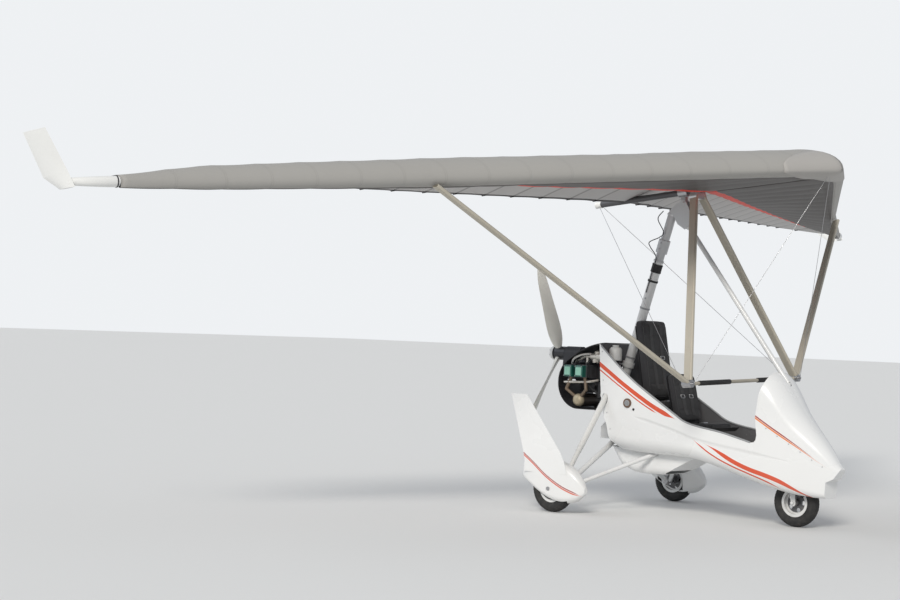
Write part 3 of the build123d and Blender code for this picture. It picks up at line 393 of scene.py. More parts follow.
studio = {
    "key": {"aim": (-0.35, 0.75, -0.55), "strength": 2.1, "spread": 18, "colour": (1.0, 0.96, 0.90)},
    "fill": {"aim": (0.75, 0.35, -0.55), "strength": 0.7, "spread": 60, "colour": (0.92, 0.96, 1.0)},
    "world": (0.80, 0.84, 0.90),
    "worldStrength": 0.55,
    "backdrop": (0.86, 0.88, 0.90),
    "floor": (0.72, 0.72, 0.71),
    "floorHalf": 150.0,
    "floorRoughness": 0.9,
}


def makeStudio():
    for name in ("key", "fill"):
        facts = studio[name]
        lamp = bpy.data.lights.new(name, "SUN")
        lamp.energy = facts["strength"]
        lamp.angle = math.radians(facts["spread"])
        lamp.color = facts["colour"]
        lampObject = bpy.data.objects.new(name, lamp)
        lampObject.rotation_mode = "QUATERNION"
        lampObject.rotation_quaternion = Vector(facts["aim"]).to_track_quat("-Z", "Y")
        bpy.context.scene.collection.objects.link(lampObject)
    world = bpy.data.worlds.new("studioWorld")
    bpy.context.scene.world = world
    world.use_nodes = True
    sky, nodes = Graph(world.node_tree), world.node_tree.nodes
    light = nodes["Background"]
    light.inputs[0].default_value = (*studio["world"], 1)
    light.inputs[1].default_value = studio["worldStrength"]
    seen = sky.node("ShaderNodeBackground", None, {0: (*studio["backdrop"], 1)})
    rays = nodes.new("ShaderNodeLightPath").outputs
    direct, through = Signal(sky, rays["Is Camera Ray"]), Signal(sky, rays["Is Transmission Ray"])
    either = direct.math("MAXIMUM", through)
    blend = sky.node("ShaderNodeMixShader", None, {0: either, 1: Signal(sky, light.outputs[0]), 2: seen})
    sky.feed(nodes["World Output"].inputs[0], blend)
    half = studio["floorHalf"]
    corners = [(-half, -half, 0), (half, -half, 0), (half, half, 0), (-half, half, 0)]
    floor = newObject("studioFloor", meshFrom("studioFloor", corners, [(0, 1, 2, 3)], smooth=False))
    matt = Paint("floorPaint", Roughness=studio["floorRoughness"])
    floor.data.materials.append(matt.use(Base_Color=studio["floor"]))
    bpy.context.scene.view_settings.view_transform = "Standard"


makeCamera()
makeStudio()
print("stage ready")


# Paints and finishes
stripes = {  # lines of the side as (x, z), half their width, and how far each end tapers
    "upper": {"half": 0.021, "taper": (0.001, 0.13), "spots": (
        (-0.530, 1.279), (-0.372, 1.185), (-0.204, 1.0845), (-0.04, 0.992), (0.121, 0.909), (0.335, 0.825),
    )},
    "upperThin": {"half": 0.0065, "taper": (0.001, 0.06), "spots": (
        (-0.530, 1.2310), (-0.372, 1.1385), (-0.2028, 1.043), (-0.0385, 0.949), (0.143, 0.8617),
    )},
    "swoosh": {"half": 0.019, "taper": (0.22, 0.35), "spots": (
        (0.6093, 0.644), (0.702, 0.604), (0.7998, 0.554), (0.906, 0.503), (1.0334, 0.456),
        (1.149, 0.423), (1.2654, 0.382), (1.3749, 0.329), (1.4855, 0.276), (1.600, 0.238),
    )},
    "swooshThin": {"half": 0.007, "taper": (0.10, 0.12), "spots": (
        (0.4987, 0.6754), (0.5785, 0.620), (0.6984, 0.548), (0.8593, 0.477), (1.0127, 0.424),
        (1.1772, 0.365), (1.2979, 0.303),
    )},
    "nose": {"half": 0.015, "taper": (0.001, 0.45), "spots": (
        (1.040, 0.907), (1.1922, 0.8071), (1.3112, 0.7289), (1.4284, 0.6512), (1.545, 0.57),
        (1.6783, 0.4853),
    )},
    "crease": {"half": 0.012, "taper": (0.10, 0.30), "spots": (
        (-0.0962, 0.819), (0.1265, 0.7732), (0.3311, 0.723), (0.4997, 0.6747), (0.7747, 0.6272),
        (1.034, 0.5927), (1.3403, 0.5418),
    )},
    "spat": {"half": 0.013, "taper": (0.03, 0.10), "spots": (
        (-0.785, 0.492), (-0.6444, 0.3984), (-0.5221, 0.3108), (-0.4022, 0.245), (-0.2949, 0.1999),
        (-0.150, 0.155),
    )},
}
colours = {
    "white": (0.80, 0.805, 0.80),
    "orange": (0.66, 0.075, 0.022),
    "darkRed": (0.34, 0.022, 0.012),
    "lightOrange": (0.78, 0.22, 0.05),
    "sail": (0.36, 0.35, 0.33),
    # the lower skin's dark tone is painted shade
    "under": (0.080, 0.072, 0.068),
    # the top skin's pale underside is painted light, as if lit through the cloth
    "rear": (0.52, 0.51, 0.50),
    "hem": (0.035, 0.03, 0.03),
    "trim": (0.75, 0.04, 0.015),
    # the crease's painted shade
    "grey": (0.30, 0.30, 0.30),
    # dark grey painted inside the pod as shade
    "lining": (0.13, 0.13, 0.135),
    "dust": (0.52, 0.50, 0.46),
}
redStart = 0.555  # share of the chord where the lower skin turns red


def coated(name, colour, roughness, coat=0.0, metallic=0.0, wear=0.10, grain=70.0):
    paint = Paint(name, Metallic=metallic, Coat_Roughness=0.12)
    fine = paint.noise(grain, 3.0)
    dull = paint.ramp(paint.noise(2.6, 5.0), 0.40, 0.72)
    scuff = paint.ramp(fine, 0.58, 0.80)
    shade = tuple(c * (1 - 2.2 * wear) for c in colour)
    base = paint.mix(dull * 0.5 + scuff * 0.5, colour, shade)
    rough = roughness + dull * wear + scuff * wear * 0.8
    if coat:
        paint.use(Coat_Weight=coat - dull * 0.25 * coat)
    return paint.use(Base_Color=base, Roughness=rough, Normal=paint.bump(fine, 0.05, 0.0004))


def gelcoat(paint, base, normal=None):  # glossy white shell with a little road dust low down
    z = paint.split(paint.place())[2]
    cloud = paint.noise(3.2, 5.0)
    dust = paint.ramp(z, 0.60, 0.05) * (0.4 + cloud * 0.6)
    base = paint.mix(dust * 0.22, base, colours["dust"])
    paint.use(Base_Color=base, Roughness=0.24 + dust * 0.3 + cloud * 0.06, Coat_Weight=0.55 - dust * 0.3)
    return paint.use(Normal=normal or paint.bump(paint.noise(6.0, 2.0), 0.04, 0.001))


def twoTone(paint, x, z, name, halfGap, lower):  # a stripe with a gap along it, dark red above
    middle = paint.line(x, stripes[name]["spots"])
    gap = paint.band(z - middle, 0.001, halfGap)
    tone = paint.mix(z > middle + 0.001, colours[lower], colours["darkRed"])
    return paint.stripe(x, z, stripes[name]) * (1 - gap), tone


def podPaint():  # stripes on the outside, the inside painted dark grey as shade
    paint = Paint("podPaint", Coat_Roughness=0.08)
    x, y, z = paint.split(paint.place())
    _, facingY, facingZ = paint.split(paint.node("ShaderNodeTexCoord", out=1))
    within = (facingY * y < -0.01).math("MAXIMUM", (facingZ > 0.5) * (z < 0.60) * (x < 1.15))
    side = (y.math("ABSOLUTE") > 0.10) * (1 - within)
    marks = paint.stripe(x, z, stripes["upper"])
    for name in ("upperThin", "swoosh", "swooshThin"):
        marks = marks.math("MAXIMUM", paint.stripe(x, z, stripes[name]))
    base = paint.mix(marks * side, colours["white"], colours["orange"])
    nose, tone = twoTone(paint, x, z, "nose", 0.0018, "lightOrange")
    base = paint.mix(nose * (1 - within), base, tone)
    grooveAndShade = paint.stripe(x, z, stripes["crease"], 0.010) * side
    # the crease is painted a little darker as shade in the groove; the bump dents it too
    base = paint.mix(grooveAndShade * 0.14, base, colours["grey"])
    # inside faces painted dark grey: painted shade
    insideShaded = paint.mix(within, base, colours["lining"])
    return gelcoat(paint, insideShaded, paint.bump(1 - grooveAndShade, 0.5, 0.006))


def spatPaint():
    paint = Paint("spatPaint", Coat_Roughness=0.08)
    x, y, z = paint.split(paint.place())
    both, tone = twoTone(paint, x, z, "spat", 0.0022, "orange")
    outer = y.math("ABSOLUTE") > 0.93
    return gelcoat(paint, paint.mix(both * outer, colours["white"], tone))


def plainWhite():
    return gelcoat(Paint("plainWhite", Coat_Roughness=0.08), colours["white"])


def clothPaint(name, tone, lower=False, pocketTone=0.12):
    paint = Paint(name, Specular_IOR_Level=0.35, Coat_Weight=0.04)
    _, chord, nearest = paint.split(paint.given("clothPlace"))
    share = paint.given("chordShare", 2)
    cloud = paint.noise(1.3, 4.0)
    weave = paint.noise(620.0, 1.0)
    seam = paint.band(nearest, 0.006, 0.0022, 0.001)
    base = paint.mix(cloud * 0.35, tone, tuple(c * 0.80 for c in tone))
    base = paint.mix(seam * (0.55 if lower else 0.16), base, tuple(c * 0.45 for c in tone))
    if lower:
        base = paint.mix(share > redStart, base, colours["trim"])
    else:
        pocket = paint.band(nearest, 0.0, 0.013, 0.002) * (share > 0.16)
        base = paint.mix(pocket * pocketTone, base, tuple(c * 0.55 for c in tone))
        base = paint.mix(share > 0.982, base, colours["hem"])
        patch = paint.band(chord, 0.30, 0.003, 0.001)
        base = paint.mix(patch * 0.3, base, tuple(c * 0.5 for c in tone))
    height = paint.noise(5.0, 4.0, (1.0, 3.0, 1.0)) * 0.6 + weave * 0.03 - seam * 0.4
    return paint.use(Base_Color=base, Roughness=0.52 + cloud * 0.12, Normal=paint.bump(height, 0.35, 0.006))


def rimPaint():  # white rim ring round a dark centre, painted shade for the open web
    paint = Paint("rimPaint", Coat_Roughness=0.15)
    x, _, z = paint.split(paint.place())
    main, nose = (paint.radius(x, z, (axles[key], axles["z"])) for key in ("mainX", "noseX"))
    away = paint.node("ShaderNodeMix", {"data_type": "FLOAT"}, {0: x > 0.5, 2: main, 3: nose})
    ring = paint.ramp(away, 0.080, 0.083)
    grime = paint.ramp(paint.noise(14.0, 4.0), 0.45, 0.75)
    # the dark inner colour is painted shade
    base = paint.mix(ring, (0.09, 0.09, 0.095), (0.68, 0.68, 0.67))
    base = paint.mix(grime * 0.3, base, (0.22, 0.20, 0.18))
    return paint.use(Base_Color=base, Roughness=0.34 + grime * 0.2, Coat_Weight=0.3)


def tyrePaint():
    paint = Paint("tyreRubber", Specular_IOR_Level=0.4)
    dust = paint.ramp(paint.noise(22.0, 5.0), 0.40, 0.75)
    base = paint.mix(dust * 0.6, (0.022, 0.022, 0.022), (0.065, 0.060, 0.055))
    grain = paint.bump(paint.noise(160.0, 3.0), 0.2, 0.0006)
    return paint.use(Base_Color=base, Roughness=0.72 + dust * 0.15, Normal=grain)


def mufflerPaint():  # pale ends, darker in the middle
    paint = Paint("mufflerCream", Metallic=0.35)
    y = paint.split(paint.place())[1]
    pale = paint.ramp(y.math("ABSOLUTE"), 0.175, 0.20)
    soot = paint.ramp(paint.noise(9.0, 4.0), 0.35, 0.8)
    base = paint.mix(pale, (0.055, 0.05, 0.047), (0.60, 0.52, 0.37))
    base = paint.mix(soot * 0.35, base, (0.16, 0.11, 0.07))
    return paint.use(Base_Color=base, Roughness=0.36 + soot * 0.2)


cylinders = {  # as in the CAD: their places, tops, and the outer faces of the covers
    "x": (-0.733, -0.855),
    "top": 1.242,
    "coverFace": 0.300,
    "coverZ": 1.185,
}


def rockerPaint():  # pale raised faces on dark green covers
    paint = Paint("rockerGreen", Coat_Weight=0.4)
    x, y, z = paint.split(paint.place())
    ahead, behind = (paint.band(x, centre, 0.031, 0.004) for centre in cylinders["x"])
    upright = paint.band(z, cylinders["coverZ"], 0.036, 0.006)
    face = paint.ramp(y.math("ABSOLUTE"), 0.255, 0.296) * ahead.math("MAXIMUM", behind) * upright
    base = paint.mix(face, (0.012, 0.12, 0.09), (0.36, 0.68, 0.54))
    return paint.use(Base_Color=base, Roughness=0.32 + paint.noise(40.0) * 0.1)


def radiatorPaint():  # thin upright fins between tubes
    paint = Paint("radiatorCore", Metallic=0.5)
    _, y, z = paint.split(paint.place())
    fins = paint.ramp((y * 2400.0).math("SINE"), -0.4, 0.4)
    tubes = paint.ramp((z * 520.0).math("SINE"), -0.2, 0.2)
    base = paint.mix(fins * 0.5 + tubes * 0.4, (0.025, 0.025, 0.027), (0.13, 0.13, 0.135))
    return paint.use(Base_Color=base, Roughness=0.5 + fins * 0.1, Normal=paint.bump(fins, 0.4, 0.001))


def padCloth(name, tone):
    paint = Paint(name, Sheen_Weight=0.15)
    knit = paint.noise(900.0, 2.0)
    worn = paint.ramp(paint.noise(7.0, 4.0), 0.40, 0.75)
    base = paint.mix(worn * 0.6, tone, tuple(c * 1.9 for c in tone))
    weave = paint.bump(knit + worn * 0.4, 0.25, 0.0008)
    return paint.use(Base_Color=base, Roughness=0.82 + worn * 0.08, Normal=weave)


finishes = {
    "frame_white": coated("frameWhite", (0.72, 0.725, 0.72), 0.30, 0.4),
    "frame_grey": coated("frameGrey", (0.50, 0.51, 0.52), 0.36, 0.2, 0.3),
    "bare_alloy": coated("bareAlloy", (0.62, 0.63, 0.64), 0.30, 0.0, 0.9),
    "strut_champagne": coated("strutChampagne", (0.50, 0.46, 0.38), 0.46, 0.0, 0.25, 0.06),
    "keel_dark": coated("keelDark", (0.10, 0.10, 0.105), 0.38, 0.1, 0.5),
    "steel_fittings": coated("steelFittings", (0.46, 0.46, 0.47), 0.28, 0.0, 0.95),
    "shock_grey": coated("shockGrey", (0.66, 0.66, 0.64), 0.35, 0.2),
    "seat_black": padCloth("seatBlack", (0.016, 0.016, 0.018)),
    "panel_black": coated("panelBlack", (0.022, 0.022, 0.024), 0.46, 0.1),
    "cowl_dark": coated("cowlDark", (0.03, 0.03, 0.033), 0.42, 0.2),
    "radiator_core": radiatorPaint(),
    "tyre_rubber": tyrePaint(),
    "rim_alloy": rimPaint(),
    "engine_metal": coated("engineMetal", (0.20, 0.20, 0.21), 0.42, 0.0, 0.8, 0.16),
    "engine_block": coated("engineBlock", (0.05, 0.05, 0.055), 0.48, 0.0, 0.4, 0.16),
    "rocker_green": rockerPaint(),
    "pipe_silver": coated("pipeSilver", (0.30, 0.23, 0.17), 0.36, 0.0, 0.7, 0.20),
    "muffler_cream": mufflerPaint(),
    "filler_dark": coated("fillerDark", (0.13, 0.075, 0.045), 0.4, 0.2),
    "prop_cream": coated("propCream", (0.86, 0.84, 0.76), 0.28, 0.5, 0.0, 0.05),
    "hub_dark": coated("hubDark", (0.06, 0.06, 0.065), 0.32, 0.1, 0.7),
    "sail_cloth": clothPaint("sailTop", colours["sail"]),
    "winglet_white": coated("wingletWhite", (0.80, 0.80, 0.78), 0.28, 0.4, 0.0, 0.04),
    "pod_white": plainWhite(),
}
# lower skin, its dark tone painted shade; the red strip along its rear is its own colour
shadedUnderCloth = clothPaint("sailUnder", colours["under"], lower=True)
# underside of the top skin, made pale as painted light through the cloth
litRearCloth = clothPaint("sailRear", colours["rear"], pocketTone=0.9)
noseCloth = clothPaint("noseCloth", (0.40, 0.385, 0.365))
blackRubber = coated("blackRubber", (0.018, 0.018, 0.019), 0.62, 0.0)
webbing = padCloth("beltWebbing", (0.03, 0.03, 0.032))
pipingBlack = coated("pipingBlack", (0.028, 0.028, 0.03), 0.5, 0.0)
trimGrey = coated("trimGrey", (0.30, 0.31, 0.32), 0.5, 0.1)
hoseWhite = coated("hoseWhite", (0.66, 0.65, 0.62), 0.4, 0.2)
brightAlloy = coated("brightAlloy", (0.78, 0.74, 0.67), 0.30, 0.0, 0.7, 0.14)
plasticWhite = coated("plasticWhite", (0.72, 0.72, 0.70), 0.38, 0.2)
podShell, spatShell = podPaint(), spatPaint()
# dark grey on the rear bulkhead is painted shade within the pod
lining = coated("podLining", (0.085, 0.085, 0.09), 0.6)
own = {  # nodes whose finish isn't that of their slot
    "pod_tub": podShell,
    "nose_cowl": podShell,
    "wheel_spat_left": spatShell,
    "wheel_spat_right": spatShell,
    "front_strut": finishes["frame_white"],
    "intakes": brightAlloy,
    "rear_bulkhead": lining,
}
slotOf = {row["node"]: row["material_slot"] for row in frame["record"]["subparts"]}
for node, piece in frame["nodes"].items():
    piece.data.materials.clear()
    piece.data.materials.append(own.get(node) or finishes[slotOf[node]])
print("finishes on", len(slotOf), "nodes")


# Wing: cloth skins over the flex wing's frame, written in the wing's own banked and pitched frame
wing = {
    "origin": (0.115, 0.0, 2.776),
    "pitch": 5.93,  # degrees, keel nose up
    "bank": 1.74,  # degrees, starboard tip low
    # y, leading edge x and z, bottom z, crest z, trailing edge x and z, lower skin's rear edge z
    "rows": (
        (0.0, 1.530, 0.000, -0.050, 0.220, -0.650, -0.015, -0.025),
        (0.5, 1.271, -0.005, -0.058, 0.210, -0.772, 0.000, -0.012),
        (1.6, 0.643, -0.014, -0.074, 0.179, -1.041, 0.020, 0.008),
        (3.07, -0.195, -0.030, -0.099, 0.147, -1.400, 0.052, 0.045),
        (4.56, -0.961, -0.050, -0.101, 0.083, -1.694, 0.062, 0.050),
        (5.148, -1.263, -0.043, -0.089, 0.007, -1.513, 0.000, -0.014),
    ),
    "crestShare": 0.25,
    "skinShare": 0.60,
    "noseShare": 0.08,
}
cloth = {
    "battens": (
        0.0, 0.33, 0.62, 0.92, 1.22, 1.51, 1.80, 2.10, 2.40,
        2.69, 2.99, 3.28, 3.58, 3.88, 4.18, 4.48, 4.80, 5.148,
    ),
    "sag": 0.011,  # how far the cloth hangs between two battens
    "scallop": 0.035,  # how far the free edge curves in between two batten tips
    "thickness": 0.0015,
    "perPanel": 8,  # strips across each panel between battens
    "wrinkle": 0.0035,
    "wrap": (0.050, 0.034, 0.020, 0.009, 0.002),  # how the top skin turns under the leading edge
    "ribY": 5.146,
    "ribThickness": 0.004,
}


def wingAxes():
    pitch, bank = math.radians(wing["pitch"]), math.radians(wing["bank"])
    ahead = Vector((math.cos(pitch), 0, math.sin(pitch)))
    up = Vector((-math.sin(pitch), 0, math.cos(pitch))) * math.cos(bank) - Vector((0, 1, 0)) * math.sin(bank)
    return ahead, up.cross(ahead), up


wingAhead, wingSide, wingUp = wingAxes()


def onWing(x, y, z):
    return Vector(wing["origin"]) + wingAhead * x + wingSide * y + wingUp * z


def wingRow(y):  # the section's measures at y, between the two rows beside it
    rows, y = wing["rows"], abs(y)
    k = max(i for i in range(len(rows) - 1) if rows[i][0] <= y + 1e-9)
    t = (y - rows[k][0]) / (rows[k + 1][0] - rows[k][0])
    return [a + (b - a) * t for a, b in zip(rows[k], rows[k + 1])]


def topHeight(row, share):
    _, lead, leadZ, _, crest, trail, trailZ, _ = row
    x = share * (lead - trail)
    crestX = wing["crestShare"] * (lead - trail)
    if share < wing["crestShare"]:
        return leadZ + (crest - leadZ) * math.sqrt(max(0.0, 1 - ((crestX - x) / crestX) ** 2))
    drop = crest - trailZ
    run = (lead - trail) - crestX
    radius = (run**2 + drop**2) / (2 * drop)
    return crest - radius + math.sqrt(radius**2 - (x - crestX) ** 2)


def lowHeight(row, share):
    leadZ, bottom, skinZ = row[2], row[3], row[7]
    nose, skin = wing["noseShare"], wing["skinShare"]
    if share < nose:
        return leadZ - (leadZ - bottom) * math.sqrt(max(0.0, 1 - ((nose - share) / nose) ** 2))
    return bottom + (skinZ - bottom) * (share - nose) / (skin - nose)


def panelShare(y):  # 0 at a batten and 1 midway, where the cloth hangs and curves in most
    battens = cloth["battens"]
    k = max(i for i in range(len(battens) - 1) if battens[i] <= y + 1e-9)
    f = (y - battens[k]) / (battens[k + 1] - battens[k])
    nearest = min(y - battens[k], battens[k + 1] - y)
    return 4 * f * (1 - f), nearest


def spanStations():
    battens, count = cloth["battens"], cloth["perPanel"]
    stations = []
    for near, far in zip(battens, battens[1:]):
        stations += [near + (far - near) * i / count for i in range(count)]
    return stations + [battens[-1]]


def eased(count, first, last):
    return [first + (last - first) * (1 - math.cos(math.pi / 2 * i / count)) for i in range(count + 1)]


def skinPoint(side, y, share, low, lift=0.0):
    row = wingRow(y)
    hang, _ = panelShare(y)
    chord = row[1] - row[5]
    if low:
        height = lowHeight(row, share) - 0.5 * cloth["sag"] * hang * min(1.0, 6 * share)
    else:
        share = share * (1 - cloth["scallop"] * hang / chord * share**4)
        height = topHeight(row, share)
        height -= cloth["sag"] * hang * min(1.0, max(0.0, (share - 0.10) / 0.30))
    ripple = noise.noise(Vector((side * y * 1.7, share * chord * 4.0, side * 3.1)))
    height += cloth["wrinkle"] * ripple * min(1.0, 8 * share) * min(1.0, 6 * (1 - share)) + lift
    return onWing(row[1] - share * chord, side * y, height)


def clothMesh(name, side, profile, stations, lift=0.0):
    points, faces, facts = [], [], []
    for y in stations:
        row = wingRow(y)
        chord = row[1] - row[5]
        _, nearest = panelShare(y)
        for share, low, rise in profile:
            point = skinPoint(side, y, share, low, lift)
            if rise:  # the return from the lower skin's rear edge up to the top skin
                top = skinPoint(side, y, share, False, -0.003)
                point = point.lerp(top, rise)
            points.append(point)
            facts.append((y, share * chord, nearest, share, 1.0 if low else 0.0))
    columns = len(profile)
    for i in range(len(stations) - 1):
        for j in range(columns - 1):
            a = i * columns + j
            quad = (a, a + 1, a + columns + 1, a + columns)
            faces.append(quad if side > 0 else quad[::-1])
    mesh = meshFrom(name, points, faces)
    place = mesh.attributes.new("clothPlace", "FLOAT_VECTOR", "POINT")
    place.data.foreach_set("vector", [value for fact in facts for value in fact[:3]])
    share = mesh.attributes.new("chordShare", "FLOAT", "POINT")
    share.data.foreach_set("value", [fact[3] for fact in facts])
    return mesh


def asCloth(piece, thickness, offset, *materials, inner=0):  # thickness, then plain mesh on the wing
    skin = piece.modifiers.new("skin", "SOLIDIFY")
    skin.thickness = thickness
    skin.offset = offset
    skin.material_offset = inner
    for material in materials:
        piece.data.materials.append(material)
    settled(piece)
    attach(piece, "wing")
    return piece


def sailSkin(kind, side, name, profile, stations, lift):
    mesh = clothMesh("sail" + kind + name, side, profile, stations, lift)
    return newObject("sail" + kind + name.capitalize(), mesh)


def sailPieces(side, name):
    stations, thickness = spanStations(), cloth["thickness"]
    top = [(share, True, 0.0) for share in cloth["wrap"]]
    top += [(share, False, 0.0) for share in eased(20, 0.0, 0.30)]
    top += [(0.30 + 0.70 * i / 22, False, 0.0) for i in range(1, 23)]
    low = [(0.030 + 0.57 * i / 22, True, 0.0) for i in range(23)] + [(0.602, True, 0.45), (0.604, True, 0.90)]
    above = sailSkin("Top", side, name, top, stations, 0.0)
    asCloth(above, thickness, -1, litRearCloth, finishes["sail_cloth"], inner=1)
    below = sailSkin("Under", side, name, low, stations, 0.002)
    asCloth(below, thickness, 1, shadedUnderCloth)
    shares = [i / 24 for i in range(25)]
    rim = [skinPoint(side, cloth["ribY"], s, False, -0.003) for s in shares]
    rim += [skinPoint(side, cloth["ribY"], s, True, 0.003) for s in shares[14:0:-1]]
    rib = Shape().prism(rim, wingSide * side * -cloth["ribThickness"])
    rib.piece("tipRib" + name.capitalize(), "wing", "sail_cloth", finishes["panel_black"])
    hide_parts("sail_" + name)
    chord = sum(wingRow(y)[1] - wingRow(y)[5] for y in stations) / len(stations)
    chord * 1.06
    chord * 0.60


cover = {
    "ramp": (0.03, 0.10, 0.25, 0.45, 0.70, 1.0),  # shares of its depth where its rows lie
    "half": 0.50,
    "step": 0.04,
    "columns": 26,
    "rear": 1.262,
    "lift": 0.004,
    "thickness": 0.002,
}


def noseCover():  # reinforced cloth cap over the sail's nose, from one leading edge to the other
    shares = [(t, True) for t in cover["ramp"][::-1]] + [(0.0, False)] + [(t, False) for t in cover["ramp"]]
    spans = [-cover["half"] + i * cover["step"] for i in range(cover["columns"])]
    points, faces = [], []
    for y in spans:
        row = wingRow(y)
        reach = (row[1] - cover["rear"]) / (row[1] - row[5])
        for share, low in shares:
            lift = -cover["lift"] if low else cover["lift"]
            spot = skinPoint(math.copysign(1, y), abs(y), reach * share, low, lift)
            points.append(spot + wingAhead * cover["lift"])
    columns = len(shares)
    for i in range(len(spans) - 1):
        for a in range(i * columns, (i + 1) * columns - 1):
            faces.append((a, a + 1, a + columns + 1, a + columns))
    piece = newObject("noseCover", meshFrom("noseCover", points, faces))
    asCloth(piece, cover["thickness"], 1, noseCloth)
    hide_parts("nose_cap")


pocket = {"across": (-0.030, -0.015, 0.0, 0.015, 0.030), "start": 0.15, "length": 0.845, "lift": 0.0025}


def keelPocket():  # strip of cloth sewn over the seam where the two halves meet
    rows, wide, lift = 40, len(pocket["across"]), pocket["lift"]
    shares = [pocket["start"] + pocket["length"] * i / rows for i in range(rows + 1)]
    places = [(share, y) for share in shares for y in pocket["across"]]
    points = [skinPoint(math.copysign(1, y), abs(y), share, False, lift) for share, y in places]
    corners = [a for i in range(rows) for a in range(i * wide, (i + 1) * wide - 1)]
    faces = [(a, a + 1, a + wide + 1, a + wide) for a in corners]
    piece = newObject("keelPocket", meshFrom("keelPocket", points, faces))
    asCloth(piece, cloth["thickness"], -1, noseCloth)


for side, name in ((1, "left"), (-1, "right")):
    sailPieces(side, name)
keelPocket()
noseCover()
print("sail skins ready")


# Seats: CAD pads refilled as stuffed covers, drawn in along their seams
pads = {  # low and high are (station, height) of the pad's back line, as in the CAD
    "front_seat_cushion": {
        "low": (0.720, 0.700), "high": (1.080, 0.735), "start": 0.014, "length": 0.338,
        "thick": 0.070, "width": 0.370, "facing": 1, "seams": (0.34, 0.68),
    },
    "front_seat_back": {
        "low": (0.720, 0.700), "high": (0.598, 1.200), "start": 0.092, "length": 0.414,
        "thick": 0.060, "width": 0.370, "facing": -1, "seams": (0.24, 0.50, 0.76),
    },
    "rear_seat_cushion": {
        "low": (0.400, 0.880), "high": (0.592, 0.905), "start": 0.012, "length": 0.177,
        "thick": 0.060, "width": 0.370, "facing": 1, "seams": (0.50,),
    },
    "rear_seat_back": {
        "low": (0.400, 0.880), "high": (0.268, 1.600), "start": 0.082, "length": 0.700,
        "thick": 0.075, "width": 0.390, "facing": -1, "seams": (0.20, 0.40, 0.60, 0.79),
    },
}
stuffing = {
    "inset": 0.007,  # how far the cover starts within the CAD pad, so that it swells to its size
    "voxel": 0.006,
    "pressure": 4.0,
    "frames": 20,
    "limit": 0.024,  # farthest that the cover may move
    "seam": 0.006,
    "backShare": 0.35,  # share of the thickness that stays held
    "seamDepth": 0.7,
    "piping": 0.0035,
    "stitch": 0.0016,
    "clear": 0.0023,  # room between the pad and its line in the CAD
}


def padAxes(facts):
    low, high = (at(station, 0, height) for station, height in (facts["low"], facts["high"]))
    along = (high - low).normalized()
    normal = Vector((-along.z, 0, along.x)) * facts["facing"]
    return low + along * facts["start"] + normal * stuffing["clear"], along, normal


def onPad(facts, u, v, w):  # u up the pad, v across it, w out of it, as shares of its size
    corner, along, normal = padAxes(facts)
    across = Vector((0, v * facts["width"], 0))
    return corner + along * u * facts["length"] + across + normal * w * facts["thick"]


def stuffed(node, facts):
    mesh = frame["nodes"][node].data.copy()
    work = bmesh.new()
    work.from_mesh(mesh)
    bmesh.ops.remove_doubles(work, verts=work.verts, dist=0.0001)
    bmesh.ops.recalc_face_normals(work, faces=work.faces)
    moves = [-v.normal * stuffing["inset"] for v in work.verts]
    for vertex, move in zip(work.verts, moves):
        vertex.co += move
    work.to_mesh(mesh)
    work.free()
    mesh.materials.clear()
    name = "".join(word.capitalize() for word in node.split("_"))
    piece = newObject("pad" + name, mesh)
    grid = piece.modifiers.new("grid", "REMESH")
    grid.mode = "VOXEL"
    grid.voxel_size = stuffing["voxel"]
    settled(piece)
    corner, along, normal = padAxes(facts)
    held, rest = [], [v.co.copy() for v in piece.data.vertices]
    for i, co in enumerate(rest):
        u, w = (co - corner).dot(along) / facts["length"], (co - corner).dot(normal) / facts["thick"]
        seam = min(abs(u - share) for share in facts["seams"]) * facts["length"]
        if w < stuffing["backShare"] or (w > stuffing["seamDepth"] and seam < stuffing["seam"]):
            held.append(i)
    group = piece.vertex_groups.new(name="held")
    group.add(held, 1.0, "REPLACE")
    fill = piece.modifiers.new("fill", "CLOTH")
    fill.settings.quality = 5
    fill.settings.use_pressure = True
    fill.settings.uniform_pressure_force = stuffing["pressure"]
    fill.settings.vertex_group_mass = "held"
    fill.settings.effector_weights.gravity = 0.0
    fill.point_cache.frame_end = stuffing["frames"]
    for step in range(1, stuffing["frames"] + 1):
        bpy.context.scene.frame_set(step)
    settled(piece)
    for vertex, start in zip(piece.data.vertices, rest):
        move = vertex.co - start
        if move.length > stuffing["limit"]:
            vertex.co = start + move.normalized() * stuffing["limit"]
    bpy.context.scene.frame_set(1)
    finer = piece.modifiers.new("finer", "SUBSURF")
    finer.levels = finer.render_levels = 1
    settled(piece)
    piece.data.shade_smooth()
    dress(piece, "chassis", "seat_black", finishes["seat_black"])
    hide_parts(node)
    return piece, name


